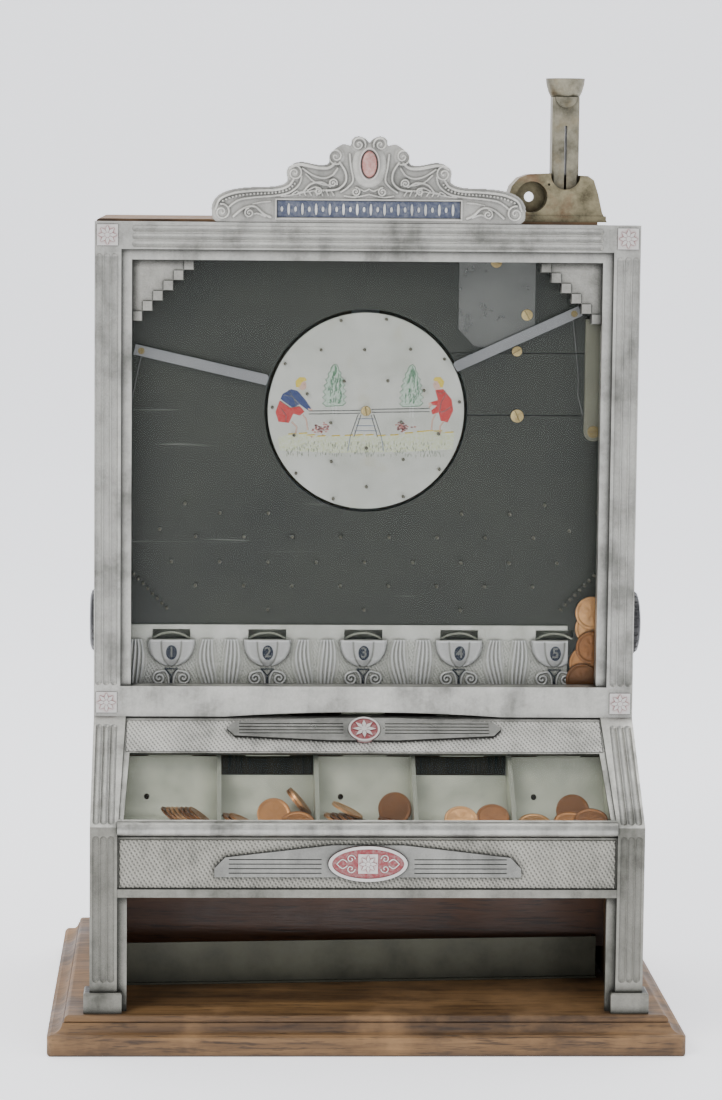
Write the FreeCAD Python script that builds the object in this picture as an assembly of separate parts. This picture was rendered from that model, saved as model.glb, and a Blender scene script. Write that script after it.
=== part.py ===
import FreeCAD, Part
import math
import os

# Counter-top penny drop machine with a rocking disc.
# Millimetres. X to the right, Y to the back, Z up.
# The origin is the centre of the base board's bottom face.

V = FreeCAD.Vector

# ---- driving dimensions -------------------------------------------------
BASE_W = 358.0           # base board, edge to edge
BASE_D = 262.0
BASE_H = 21.0
BASE_LIP = 12.0          # plain vertical part of its edge
CORNER_R = 5.0           # its rounded upright corners

CASE_X = 155.7           # half width of the castings
SIDE_OUT = 151.0         # wooden sides, outer face
SIDE_IN = 144.0          # wooden sides, inner face
BACK_Y = 110.0           # rear face of the case
TOP_Z = 464.0            # upper face of the wooden top
TOP_T = 10.0

FRAME_Y = -49.5          # front plane of the window frame
FRAME_T = 12.0
FRAME_Z0 = 178.4
FRAME_Z1 = 462.5
WIN_X = 134.5            # window opening, half width
WIN_Z0 = 196.0
WIN_Z1 = 441.0
BORDER = 6.0             # plain recessed border round the opening

BOARD_Y = -27.5          # front face of the playfield
BOARD_T = 8.0
BOARD_Z0 = 193.6
GLASS_Y = -37.2
GLASS_T = 3.0

DISC_X = 0.6
DISC_Z = 354.0
DISC_R = 56.9
DISC_HOLE_R = 58.8
DISC_Y0 = -28.0
DISC_Y1 = -26.4
PIN_R = 0.9
PIN_TIP_Y = -32.3        # playfield pins end here
DISC_PIN_TIP_Y = -31.6

LEG_Y = -113.9           # front plane of the columns and of the slope's lower end
LEG_TOP_Z = 126.5
LEG_BACK_Y = -100.0
SHAFT_IN_X = 140.4       # inner edge of a column's shaft

SLOPE_T = 7.0            # thickness of the sloped casting
TRAY_Z = 119.7           # upper face of the tray's floor
TRAY_T = 1.2

CUP_PITCH = 55.9
CUP_Z0 = 205.8
CUP_Z1 = 220.2
SLOT_W = 22.0
SLOT_Z0 = 220.5
SLOT_Z1 = 226.4
STRIP_T = 2.0
STRIP_TOP = 229.1

COIN_R = 9.525
COIN_T = 1.52

PIVOT_R = 2.0            # bolt that the disc turns on
BRIDGE_Y0 = -13.0
BRIDGE_T = 3.0

ARM_Y0 = -31.2
ARM_Y1 = -30.2
ARM_HALF = 3.0
RIVET_R = 1.2
# each arm's outer rivet and inner tip, as (x, z)
ARMS = {"arm_right": ((120.2, 411.2), (51.4, 379.8)), "arm_left": ((-129.3, 388.1), (-56.2, 371.6))}

BACK_ARC_R = 36.0        # curved sheets behind the tray
BACK_ARC_Y = -93.2
DIVIDER_T = 2.4
DIVIDER_PITCH = 55.6

KNOB_R = 18.5
KNOB_T = 7.5
KNOB_REACH = 161.0       # outer face of a knob from the rod's middle
BUSH_R = 7.0
ROD_SHIFT = 2.1          # the rod sits this far to the right
ROD_Y = -10.0            # payout rod's axis
ROD_Z = 229.0
ROD_R = 4.0

HEAD_Y0 = -35.5          # coin head casting, front and back
HEAD_Y1 = -13.5
PLUNGER_X = 113.6
PLUNGER_Y = -24.5

DRAWER_X = 141.5
DRAWER_Y0 = -12.0
DRAWER_Z0 = BASE_H + 0.4
DRAWER_TOP = 84.0
DOOR_Z0 = 99.0
DOOR_Z1 = 441.0
DOOR_T = 8.0
HINGE_X = -144.0
HINGE_Y = 112.4
HINGE_Z = (150.0, 390.0)
LOCK_X = 118.0
LOCK_Z = 270.0

CREST_Y0 = -48.0         # crest plate, front and back
CREST_Y1 = -44.0

FLUTE_W = 4.0            # long round-bottomed grooves in the castings
FLUTE_D = 0.9
FLUTE_R = (FLUTE_W ** 2 / 4 + FLUTE_D ** 2) / (2 * FLUTE_D)

SLIP = 0.05              # radial clearance of a running fit

# The slope runs from the frame's lower front edge down to the columns' tops.
SLOPE_DY = LEG_Y - FRAME_Y
SLOPE_DZ = LEG_TOP_Z - FRAME_Z0
SLOPE_LEN = math.hypot(SLOPE_DY, SLOPE_DZ)
SLOPE_DEG = math.degrees(math.atan2(-SLOPE_DZ, -SLOPE_DY))
CUP_X = [CUP_PITCH * (i - 2) + 0.4 for i in range(5)]


# ---- helpers ------------------------------------------------------------
def box(x0, x1, y0, y1, z0, z1):
    return Part.makeBox(x1 - x0, y1 - y0, z1 - z0, V(x0, y0, z0))


def rod_x(x0, x1, y, z, r):
    return Part.makeCylinder(r, x1 - x0, V(x0, y, z), V(1, 0, 0))


def rod_y(x, z, r, y0, y1):
    return Part.makeCylinder(r, y1 - y0, V(x, y0, z), V(0, 1, 0))


def rod_z(x, y, r, z0, z1):
    return Part.makeCylinder(r, z1 - z0, V(x, y, z0), V(0, 0, 1))


def prism(points, direction):
    """A closed polygon, pushed along one direction."""
    wire = Part.makePolygon(points + [points[0]])
    return Part.Face(wire).extrude(direction)


def plate_xz(points, y0, y1):
    return prism([V(x, y0, z) for x, z in points], V(0, y1 - y0, 0))


def plate_yz(points, x0, x1):
    return prism([V(x0, y, z) for y, z in points], V(x1 - x0, 0, 0))


def join(shapes):
    return shapes[0].fuse(shapes[1:]).removeSplitter()


def mirror_x(shape):
    return shape.mirror(V(0, 0, 0), V(1, 0, 0))


def both(shape):
    """A shape and its mirror image on the other side."""
    return [shape, mirror_x(shape)]


def revolve_x(points, x0, y, z):
    """A ring profile of (x, r) points, turned about a line along X."""
    outline = [V(x0 + x, y, z + r) for x, r in points]
    face = Part.Face(Part.makePolygon(outline + [outline[0]]))
    return face.revolve(V(x0, y, z), V(1, 0, 0), 360)


def revolve_z(points, x, y):
    outline = [V(x + r, y, z) for r, z in points]
    face = Part.Face(Part.makePolygon(outline + [outline[0]]))
    return face.revolve(V(x, y, 0), V(0, 0, 1), 360)


def on_slope(shape):
    """From slope coordinates (x, distance up the slope, height above it) into place."""
    shape.rotate(V(0, 0, 0), V(1, 0, 0), SLOPE_DEG)
    shape.translate(V(0, FRAME_Y, FRAME_Z0))
    return shape


def save(name, *shapes):
    solids = []
    for shape in shapes:
        solids += shape.Solids
    out = solids[0] if len(solids) == 1 else Part.makeCompound(solids)
    out.exportStep("parts/" + name + ".step")


def flute(x0, z0, x1, z1, face_y):
    """A round-ended cutter that leaves one shallow flute in a face that looks to the front."""
    y = face_y - (FLUTE_R - FLUTE_D)
    run = V(x1 - x0, 0, z1 - z0)
    bar = Part.makeCylinder(FLUTE_R, run.Length, V(x0, y, z0), run)
    ends = [Part.makeSphere(FLUTE_R, V(x0, y, z0)), Part.makeSphere(FLUTE_R, V(x1, y, z1))]
    return join([bar] + ends)


# ---- base and wooden case -------------------------------------------------
def base_edge(half, across):
    """Half of the moulded edge's section: lip, step, hollow and bead."""
    def at(u, z):
        return V(u, 0, z) if across else V(0, u, z)

    hollow = Part.Arc(at(half - 2.2, BASE_LIP), at(half - 6.4, 13.2), at(half - 8.6, 17.2)).toShape()
    bead = Part.Arc(at(half - 9.6, 17.2), at(half - 9.9, 19.9), at(half - 12.6, BASE_H)).toShape()
    return [
        Part.makeLine(at(0, 0), at(half - 1.0, 0)),
        Part.makeLine(at(half - 1.0, 0), at(half, 1.0)),
        Part.makeLine(at(half, 1.0), at(half, BASE_LIP - 1.2)),
        Part.makeLine(at(half, BASE_LIP - 1.2), at(half - 2.2, BASE_LIP)),
        hollow,
        Part.makeLine(at(half - 8.6, 17.2), at(half - 9.6, 17.2)),
        bead,
        Part.makeLine(at(half - 12.6, BASE_H), at(0, BASE_H)),
        Part.makeLine(at(0, BASE_H), at(0, 0)),
    ]


def moulded_bar(half, across, length):
    push = V(0, length, 0) if across else V(length, 0, 0)
    side = Part.Face(Part.Wire(base_edge(half, across))).extrude(push)
    side.translate(push * -0.5)
    flip = V(1, 0, 0) if across else V(0, 1, 0)
    return join([side, side.mirror(V(0, 0, 0), flip)])


def wood_base():
    wide = moulded_bar(BASE_W / 2, True, BASE_D)
    deep = moulded_bar(BASE_D / 2, False, BASE_W)
    blank = box(-BASE_W / 2, BASE_W / 2, -BASE_D / 2, BASE_D / 2, 0, BASE_H)
    blank = blank.makeFillet(CORNER_R, [e for e in blank.Edges if e.BoundBox.ZLength > BASE_H / 2])
    save("wood_base", wide.common(deep).common(blank))


def side_panels():
    inner = [
        (BACK_Y, BASE_H), (BACK_Y, TOP_Z - TOP_T), (FRAME_Y + FRAME_T, TOP_Z - TOP_T),
        (FRAME_Y + FRAME_T, FRAME_Z0), (FRAME_Y + 11.25, FRAME_Z0), (LEG_BACK_Y, FRAME_Z0 - 49.85),
        (LEG_BACK_Y, BASE_H),
    ]
    panel = plate_yz(inner, SIDE_IN, SIDE_OUT)
    panel = panel.cut(rod_x(SIDE_IN, SIDE_OUT, ROD_Y, ROD_Z, BUSH_R))
    save("side_panel_right", panel)
    save("side_panel_left", mirror_x(panel))


def top_panel():
    """The top board; its right end is cut lower beside the coin head."""
    z0 = TOP_Z - TOP_T
    full = box(-155.2, 132.0, FRAME_Y + FRAME_T, BACK_Y, z0, TOP_Z)
    low = box(132.0, 155.2, FRAME_Y + FRAME_T, BACK_Y, z0, TOP_Z - 5.0)
    coin_way = box(83.0, 105.0, -33.0, -29.8, z0, TOP_Z)
    board = join([full, low]).cut(coin_way)
    rear_edges = [e for e in board.Edges
                  if e.BoundBox.YMin > BACK_Y - 0.01 and e.BoundBox.ZMin > TOP_Z - 0.01]
    left_edges = [e for e in board.Edges if e.BoundBox.XMax < -155.1 and e.BoundBox.ZMin > TOP_Z - 0.01]
    save("top_panel", board.makeFillet(2.0, rear_edges + left_edges))


def back_rails():
    y0 = BACK_Y - DOOR_T
    upper = box(-SIDE_IN, SIDE_IN, y0, BACK_Y, DOOR_Z1 + 0.8, TOP_Z - TOP_T)
    middle = box(-SIDE_IN, SIDE_IN, y0, BACK_Y, DRAWER_TOP + 1.2, DOOR_Z0 - 0.8)
    save("back_rails", upper, middle)


def cavity_wall():
    """Wooden board at the back of the payout cavity and the loose metal plate below it."""
    save("cavity_board", box(-SIDE_IN, SIDE_IN, -26.0, -18.0, 38.0, TRAY_Z - TRAY_T))
    height = 24.2
    plate = box(-136.5, 139.5, -0.5, 0.5, 0, height)
    foot = box(-136.5, 139.5, -3.4, -0.5, 0, 1.0)
    end = box(138.5, 139.5, 0.5, 5.0, 0, height)
    folded = join([plate, foot, end])
    folded.rotate(V(-136.5, 0, 0), V(0, 0, 1), 3.6)
    folded.translate(V(0, -49.0, BASE_H))
    save("cavity_plate", folded)


# ---- window frame -----------------------------------------------------------
def window_frame():
    y1 = FRAME_Y + FRAME_T
    body = box(-CASE_X, CASE_X, FRAME_Y, y1, FRAME_Z0, FRAME_Z1)
    opening = box(-WIN_X, WIN_X, FRAME_Y, y1, WIN_Z0, WIN_Z1)
    top = WIN_Z1 + BORDER
    border = box(-WIN_X - BORDER, WIN_X + BORDER, FRAME_Y, FRAME_Y + 2.2, WIN_Z0, top)
    arch_points = [V(-80, FRAME_Y, FRAME_Z0), V(0, FRAME_Y, FRAME_Z0 + 2.8), V(80, FRAME_Y, FRAME_Z0)]
    arch = Part.Arc(*arch_points).toShape()
    chord = Part.makeLine(arch_points[2], arch_points[0])
    arch_cut = Part.Face(Part.Wire([arch, chord])).extrude(V(0, FRAME_T, 0))
    body = body.cut([opening, border, arch_cut])
    cuts = []
    for k in range(3):
        x = 144.2 + 4.4 * k
        cuts += both(flute(x, FRAME_Z0 + 20, x, FRAME_Z1 - 20, FRAME_Y))
        z = top + 2.9 + 4.4 * k
        cuts.append(flute(-WIN_X + 2, z, WIN_X - 2, z, FRAME_Y))
    save("window_frame", body.cut(cuts))


def corner_brackets():
    """Stepped fan brackets in the window's upper corners, with a square tip on each step."""
    steps = 6
    step = 5.87
    y0 = -43.6
    y1 = FRAME_Y + FRAME_T
    outline = [(WIN_X, WIN_Z1), (WIN_X - steps * step, WIN_Z1)]
    tips = []
    for k in range(steps):
        x = WIN_X - step * (steps - k)
        z = WIN_Z1 - step * (k + 1)
        outline += [(x, z), (x + step, z)]
        tips.append(box(x + 0.3, x + step - 0.3, y0 - 0.8, y0 + 1.0, z + 0.3, z + step - 0.3))
    bracket = join([plate_xz(outline, y0, y1)] + tips)
    save("corner_brackets", *both(bracket))


def rosette(x, z, size, face_y):
    """A square tile with an eight-petalled star."""
    tile = box(x - size / 2, x + size / 2, face_y - 0.4, face_y, z - size / 2, z + size / 2)
    parts = [tile, rod_y(x, z, size * 0.11, face_y - 1.3, face_y - 0.4)]
    for k in range(8):
        petal = plate_xz([(0, 0), (size * 0.09, size * 0.25), (0, size * 0.46), (-size * 0.09, size * 0.25)],
                         face_y - 1.0, face_y - 0.4)
        petal.rotate(V(0, 0, 0), V(0, 1, 0), 45 * k)
        petal.translate(V(x, 0, z))
        parts.append(petal)
    return join(parts)


def corner_rosettes():
    upper = rosette(148.4, FRAME_Z1 - 7.6, 12.0, FRAME_Y)
    lower = rosette(148.4, FRAME_Z0 + 8.2, 12.0, FRAME_Y)
    save("corner_rosettes", *(both(upper) + both(lower)))


def window_glass():
    save("window_glass", box(-138, 138, GLASS_Y, GLASS_Y + GLASS_T, 192.5, 444.5))
    clips = []
    for z in (215.0, 318.0, 421.0):
        back = GLASS_Y + GLASS_T
        foot = box(138.5, 141.5, FRAME_Y + FRAME_T, back + 1.0, z - 6, z + 6)
        tongue = box(135.6, 138.5, back, back + 1.0, z - 6, z + 6)
        clips += both(join([foot, tongue]))
    save("glass_clips", *clips)


# ---- crest --------------------------------------------------------------------
def crest():
    """Scrolled crest plate standing on the frame."""
    left = [
        (-89.0, 465.0), (-89.2, 472.5), (-85.0, 478.3), (-76.8, 481.4), (-65.8, 482.6), (-53.2, 483.2),
        (-46.0, 486.0), (-46.4, 491.0), (-43.5, 495.5), (-38.9, 497.1), (-28.7, 495.4), (-22.6, 495.6),
        (-21.5, 502.0), (-18.5, 504.6), (-15.0, 507.2), (-10.2, 505.5), (-8.0, 511.0), (-3.6, 510.8),
    ]
    outline = [(-86.5, FRAME_Z1)] + left + [(0.0, 508.3)]
    outline += [(-x, z) for x, z in reversed(left)] + [(86.5, FRAME_Z1)]
    slab = plate_xz(outline, CREST_Y0, CREST_Y1)
    scrolls = []
    for x, z, r in ((42.6, 491.0, 4.4), (19.0, 500.6, 3.6), (6.2, 508.0, 3.9), (84.0, 467.8, 5.2)):
        scrolls += both(rod_y(x, z, r, CREST_Y0 - 0.8, CREST_Y1))
    body = join([slab] + scrolls)
    panel = box(-52.5, 52.5, CREST_Y0, CREST_Y0 + 1.2, 465.4, 475.2)
    foot = box(-88.0, 88.0, CREST_Y1, CREST_Y1 + 3.0, FRAME_Z1, FRAME_Z1 + 1.4)
    oval = Part.makeSphere(1.0)
    shape = FreeCAD.Matrix()
    shape.scale(4.6, 3.0, 7.8)
    shape.move(V(0, CREST_Y0, 496.0))
    gem = oval.transformGeometry(shape)
    front = box(-10, 10, CREST_Y0 - 5, CREST_Y0, 480, 510)
    save("crest", join([body.cut(panel), foot, gem.common(front)]))


# ---- slope, tray and apron ------------------------------------------------------
def sloped_frame():
    """Sloped casting over the coin compartments: header, side pilasters, sill."""
    drop = SLOPE_T / math.cos(math.radians(SLOPE_DEG))
    lean = SLOPE_T / math.sin(math.radians(SLOPE_DEG))
    section = [(FRAME_Y, FRAME_Z0), (LEG_Y, LEG_TOP_Z), (LEG_Y + lean, LEG_TOP_Z), (FRAME_Y + lean, FRAME_Z0)]
    body = plate_yz(section, -CASE_X, CASE_X)
    top_s = 26.7
    low_s = 77.1
    opening = prism([V(-134.6, -top_s, -20), V(134.6, -top_s, -20), V(137.0, -low_s, -20),
                     V(-137.0, -low_s, -20)],
                    V(0, 0, 40))
    recess = prism([V(-137.2, 2, -1.0), V(137.2, 2, -1.0), V(139.8, -low_s, -1.0), V(-139.8, -low_s, -1.0)],
                   V(0, 0, 3))
    rebate = Part.makeBox(281.0, low_s - top_s + 6.0, 4.0, V(-140.5, -low_s - 2.6, -SLOPE_T))
    cuts = [on_slope(opening), on_slope(recess)]
    for k in range(3):
        x = 143.9 + 4.2 * k
        for side in (-1, 1):
            y = FLUTE_R - FLUTE_D
            bar = Part.makeCylinder(FLUTE_R, SLOPE_LEN - 12.0, V(side * x, -SLOPE_LEN + 4.0, y), V(0, 1, 0))
            ends = [Part.makeSphere(FLUTE_R, V(side * x, -SLOPE_LEN + 4.0, y)),
                    Part.makeSphere(FLUTE_R, V(side * x, -8.0, y))]
            cuts.append(on_slope(join([bar] + ends)))
    sill = rod_x(-SHAFT_IN_X, SHAFT_IN_X, LEG_Y + 3.2, LEG_TOP_Z - 1.4, 4.3)
    save("sloped_frame", join([body.cut(cuts), sill]).cut(on_slope(rebate)))
    glass = Part.makeBox(280.0, low_s - top_s + 4.0, 2.2, V(-140.0, -low_s - 1.6, -5.4))
    save("sloped_glass", on_slope(glass))


def slope_ornament():
    """Reeded bar across the header, with a round medallion in its middle."""
    outline = [(-79.0, -9.6), (-74.5, -4.6), (-20.0, -1.4), (20.0, -1.4), (74.5, -4.6), (79.0, -9.6),
               (74.5, -15.0), (20.0, -18.4), (-20.0, -18.4), (-74.5, -15.0)]
    bar = prism([V(x, y, -1.0) for x, y in outline], V(0, 0, 1.8))
    seat = Part.makeCylinder(9.4, 5, V(0, -10.0, -2))
    grooves = []
    for k in range(4):
        for side in (-1, 1):
            start = 12.0 if side > 0 else -72.0
            grooves.append(Part.makeBox(60.0, 0.6, 1.0, V(start, -6.2 - 2.4 * k, 0.3)))
    upper_bar = on_slope(bar.cut([seat] + grooves))
    medal = Part.makeCylinder(9.1, 2.2, V(0, -10.0, -1.0))
    ring = Part.makeCylinder(7.9, 1.0, V(0, -10.0, 0.6))
    star = [Part.makeCylinder(1.7, 1.2, V(0, -10.0, 0.3))]
    for k in range(8):
        petal = prism([V(0, 0, 0.5), V(1.2, 3.4, 0.5), V(0, 6.8, 0.5), V(-1.2, 3.4, 0.5)], V(0, 0, 0.9))
        petal.rotate(V(0, 0, 0), V(0, 0, 1), 45 * k)
        petal.translate(V(0, -10.0, 0))
        star.append(petal)
    upper_medal = on_slope(join([medal.cut(ring)] + star))
    lower_bar, lower_medal = apron_ornament()
    save("reeded_bars", upper_bar, lower_bar)
    save("medallions", upper_medal, lower_medal)


def back_sheet(x0, x1, top_z):
    """One curved sheet behind a compartment, rising from the tray's floor."""
    centre_z = TRAY_Z + 0.9 + BACK_ARC_R
    outer = rod_x(x0, x1, BACK_ARC_Y, centre_z, BACK_ARC_R + 0.8)
    inner = rod_x(x0 - 1, x1 + 1, BACK_ARC_Y, centre_z, BACK_ARC_R)
    keep = box(x0, x1, BACK_ARC_Y, BACK_ARC_Y + 60, TRAY_Z, top_z)
    return outer.cut(inner).common(keep)


def tray():
    z0 = TRAY_Z - TRAY_T
    front = box(-SHAFT_IN_X + 0.2, SHAFT_IN_X - 0.2, LEG_Y + 7.6, LEG_BACK_Y, z0, TRAY_Z)
    save("tray_floor", join([front, box(-SIDE_IN, SIDE_IN, LEG_BACK_Y, -50.0, z0, TRAY_Z)]))
    side_view = [(-54.0, 165.3), (-54.0, TRAY_Z), (LEG_Y + 7.8, TRAY_Z), (LEG_Y + 7.8, 123.2)]
    walls = []
    for k in range(6):
        x = DIVIDER_PITCH * (k - 2.5)
        if k in (0, 5):
            x = math.copysign(SHAFT_IN_X - 0.2 - DIVIDER_T / 2, x)
        walls.append(plate_yz(side_view, x - DIVIDER_T / 2, x + DIVIDER_T / 2))
    save("compartment_dividers", *walls)
    sheets = []
    edges = [w.BoundBox for w in walls]
    for k in range(5):
        low = k in (1, 3)
        sheet = back_sheet(edges[k].XMax, edges[k + 1].XMin, 146.0 if low else 156.5)
        if not low:
            sheet = sheet.cut(rod_y(edges[k].XMax + 13.0, 134.5, 1.6, -100, -40))
        sheets.append(sheet)
    save("compartment_backs", *sheets)


def apron():
    """Front plate between the columns, with a raised lower rim."""
    plate = box(-SHAFT_IN_X, SHAFT_IN_X, LEG_Y + 1.6, LEG_Y + 7.4, 86.6, 120.6)
    rim = box(-SHAFT_IN_X, SHAFT_IN_X, LEG_Y + 0.2, LEG_Y + 1.6, 86.6, 91.2)
    save("apron", join([plate, rim]))


def apron_ornament():
    """Tapered bar on the apron, with an oval medallion in its middle."""
    half = [(86.0, 98.4), (86.0, 103.4), (80.0, 109.6), (20.0, 116.6)]
    outline = half + [(-x, z) for x, z in reversed(half)]
    bar = plate_xz(outline, LEG_Y - 0.4, LEG_Y + 1.6)
    grooves = []
    for k in range(4):
        for x0 in (-78.0, 26.0):
            grooves.append(box(x0, x0 + 52.0, LEG_Y - 0.4, LEG_Y + 0.3, 100.4 + 2.6 * k, 101.0 + 2.6 * k))
    seat = oval_xz(22.5, 10.4, 106.2, LEG_Y - 2, LEG_Y + 1.6)
    medal = oval_xz(22.2, 10.1, 106.2, LEG_Y - 1.6, LEG_Y + 1.6)
    field = oval_xz(20.2, 8.4, 106.2, LEG_Y - 1.7, LEG_Y - 0.9)
    flower = rosette(0, 106.2, 11.0, LEG_Y - 0.9)
    return bar.cut([seat] + grooves), join([medal.cut(field), flower])


def oval_xz(a, b, z, y0, y1):
    ellipse = Part.Ellipse(V(0, y0, z), a, b)
    edge = ellipse.toShape()
    edge.rotate(V(0, y0, z), V(1, 0, 0), 90)
    return Part.Face(Part.Wire([edge])).extrude(V(0, y1 - y0, 0))


def columns():
    """Fluted columns on square plinths, with a thin inner flange."""
    shaft = box(SHAFT_IN_X, CASE_X, LEG_Y, LEG_BACK_Y, BASE_H, LEG_TOP_Z)
    flange = box(135.0, SHAFT_IN_X, LEG_Y + 3.0, LEG_Y + 7.0, BASE_H, 86.6)
    plinth = box(137.6, 159.0, LEG_Y - 3.0, LEG_BACK_Y, BASE_H, 32.6)
    top_edges = [e for e in plinth.Edges if e.BoundBox.ZMin > 32.5 and e.BoundBox.YMin < LEG_BACK_Y - 1]
    plinth = plinth.makeChamfer(0.8, top_edges)
    cuts = []
    for k in range(3):
        x = 143.9 + 4.2 * k
        cuts.append(flute(x, 40.0, x, LEG_TOP_Z - 7.0, LEG_Y))
    column = join([shaft.cut(cuts), flange, plinth])
    save("column_right", column)
    save("column_left", mirror_x(column))


# ---- playfield --------------------------------------------------------------------
PANEL_Z0 = 351.6
PANEL_Z1 = 388.2


def disc_hole():
    return rod_y(DISC_X, DISC_Z, DISC_HOLE_R, BOARD_Y - 1, BOARD_Y + BOARD_T + 1)


def playfield_board():
    y1 = BOARD_Y + BOARD_T
    board = box(-SIDE_IN, SIDE_IN, BOARD_Y, y1, BOARD_Z0, TOP_Z - TOP_T)
    cuts = [disc_hole(), box(40.0, SIDE_IN, BOARD_Y, y1, PANEL_Z0, PANEL_Z1)]
    for x in CUP_X:
        cuts.append(box(x - SLOT_W / 2, x + SLOT_W / 2, BOARD_Y, y1, SLOT_Z0, SLOT_Z1))
    save("playfield_board", board.cut(cuts))
    panel = box(40.0, SIDE_IN, BOARD_Y, y1, PANEL_Z0 + 0.5, PANEL_Z1 - 0.5)
    save("access_panel", panel.cut(disc_hole()))
    battens = [box(x, x + 12.0, y1, y1 + 5.0, PANEL_Z0 - 12.0, PANEL_Z1 + 12.0) for x in (66.0, 118.0)]
    blocks = [box(DISC_X - 8, DISC_X + 8, y1, BRIDGE_Y0, z, z + 13.0) for z in (DISC_Z - 76, DISC_Z + 63)]
    save("board_blocks", *(battens + blocks))


def nail(x, z, y_base, y_tip):
    """A straight pin with a domed tip, standing out of a face towards the front."""
    shank = rod_y(x, z, PIN_R, y_tip + PIN_R, y_base)
    return join([shank, Part.makeSphere(PIN_R, V(x, y_tip + PIN_R, z))])


def playfield_pins():
    pitch = 28.05
    spots = []
    for z, places in ((294.4, (2, 3)), (280.6, (0.5, 1.5, 2.5, 3.5)), (265.9, (0, 1, 2, 3, 4)),
                      (252.0, (0.5, 1.5, 2.5, 3.5)), (238.0, (0, 2))):
        for n in places:
            spots.append((DISC_X + n * pitch, z))
            if n:
                spots.append((DISC_X - n * pitch, z))
    for side in (-1, 1):
        spots += [(DISC_X + side * 104.4, 299.8), (DISC_X + side * 119.0, 284.8)]
        for k in range(8):
            spots.append((DISC_X + side * (134.0 - 2.75 * k), 258.7 - 2.85 * k))
    spots.append((135.9, 295.3))
    save("playfield_pins", *[nail(x, z, BOARD_Y, PIN_TIP_Y) for x, z in spots])


def cup_strip():
    """Cast strip across the foot of the playfield, with a slot over each cup."""
    y0 = BOARD_Y - STRIP_T
    strip = box(-SIDE_IN, 119.7, y0, BOARD_Y, BOARD_Z0, STRIP_TOP)
    for x in CUP_X:
        strip = strip.cut(box(x - SLOT_W / 2, x + SLOT_W / 2, y0, BOARD_Y, SLOT_Z0, SLOT_Z1))
    save("cup_strip", strip)
    cups = []
    for x in CUP_X:
        cone = Part.makeCone(8.4, 12.3, CUP_Z1 - CUP_Z0, V(0, 0, 0), V(0, 0, 1))
        squash = FreeCAD.Matrix()
        squash.scale(1.0, 0.3, 1.0)
        squash.move(V(x, y0, CUP_Z0))
        cup = cone.transformGeometry(squash)
        cups.append(cup.common(box(x - 15, x + 15, y0 - 6, y0, CUP_Z0, CUP_Z1)))
    save("number_cups", *cups)


def coin_troughs():
    """Sheet troughs behind the slots, and the curved lip inside each slot."""
    y_back = BOARD_Y + BOARD_T + 2.9
    z_turn = 192.6
    y_end = -59.0
    z_end = 157.9
    t = 0.8
    back_view = [(y_back, 236.0), (y_back, z_turn - 0.6), (y_end, z_end - t), (y_end, z_end),
                 (y_back - t, z_turn), (y_back - t, 236.0)]
    cheek_view = [(y_back, 236.0), (y_back, z_turn - 0.6), (y_end, z_end - t), (y_end, z_end + 1.0),
                  (BOARD_Y + BOARD_T, z_turn - 1.4), (BOARD_Y + BOARD_T, 236.0)]
    solids = []
    for x in CUP_X:
        back = plate_yz(back_view, x - 12.0, x + 12.0)
        cheeks = [plate_yz(cheek_view, x + side - 0.3, x + side + 0.3) for side in (-12.3, 12.3)]
        solids.append(join([back] + cheeks))
        z = SLOT_Z0 - 14.0
        arc = rod_y(x, z, 18.2, BOARD_Y + 1.0, BOARD_Y + 3.0).cut(rod_y(x, z, 17.0, BOARD_Y, BOARD_Y + 4.0))
        solids.append(arc.common(box(x - 10.9, x + 10.9, BOARD_Y, BOARD_Y + 4, SLOT_Z0 + 0.1, SLOT_Z1)))
    save("coin_troughs", *solids)


def rail_and_chute():
    rail = join([box(127.1, 138.1, BOARD_Y - 3.0, BOARD_Y, 342.8, 408.0),
                 rod_y(132.6, 342.8, 5.5, BOARD_Y - 3.0, BOARD_Y)])
    stop = box(126.4, SIDE_IN, BOARD_Y - 4.1, BOARD_Y, 183.4, 187.6)
    save("coin_rail", rail, stop)
    outline = [(53.6, 449.0), (53.6, 401.8), (62.8, 392.0), (70.0, 391.2), (97.8, 403.6), (97.8, 449.0)]
    save("chute_plate", plate_xz(outline, BOARD_Y - 0.8, BOARD_Y))
    heads = [(93.2, 410.2, 3.3, 0.8, 60), (75.0, 440.6, 3.3, 0.8, 20), (87.7, 389.2, 3.0, 0.0, -30),
             (88.4, 351.6, 3.8, 0.0, 65), (132.6, 342.8, 3.5, 3.0, 0)]
    screws = []
    for x, z, r, lift, turn in heads:
        face = BOARD_Y - lift
        head = rod_y(x, z, r, face - 1.1, face)
        head = head.makeFillet(0.4, [e for e in head.Edges if e.BoundBox.YMax < face - 1.0])
        groove = box(-r - 1, r + 1, face - 1.2, face - 0.5, -0.4, 0.4)
        groove.rotate(V(0, 0, 0), V(0, 1, 0), turn)
        groove.translate(V(x, 0, z))
        screws.append(head.cut(groove))
    save("board_screws", *screws)


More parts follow.
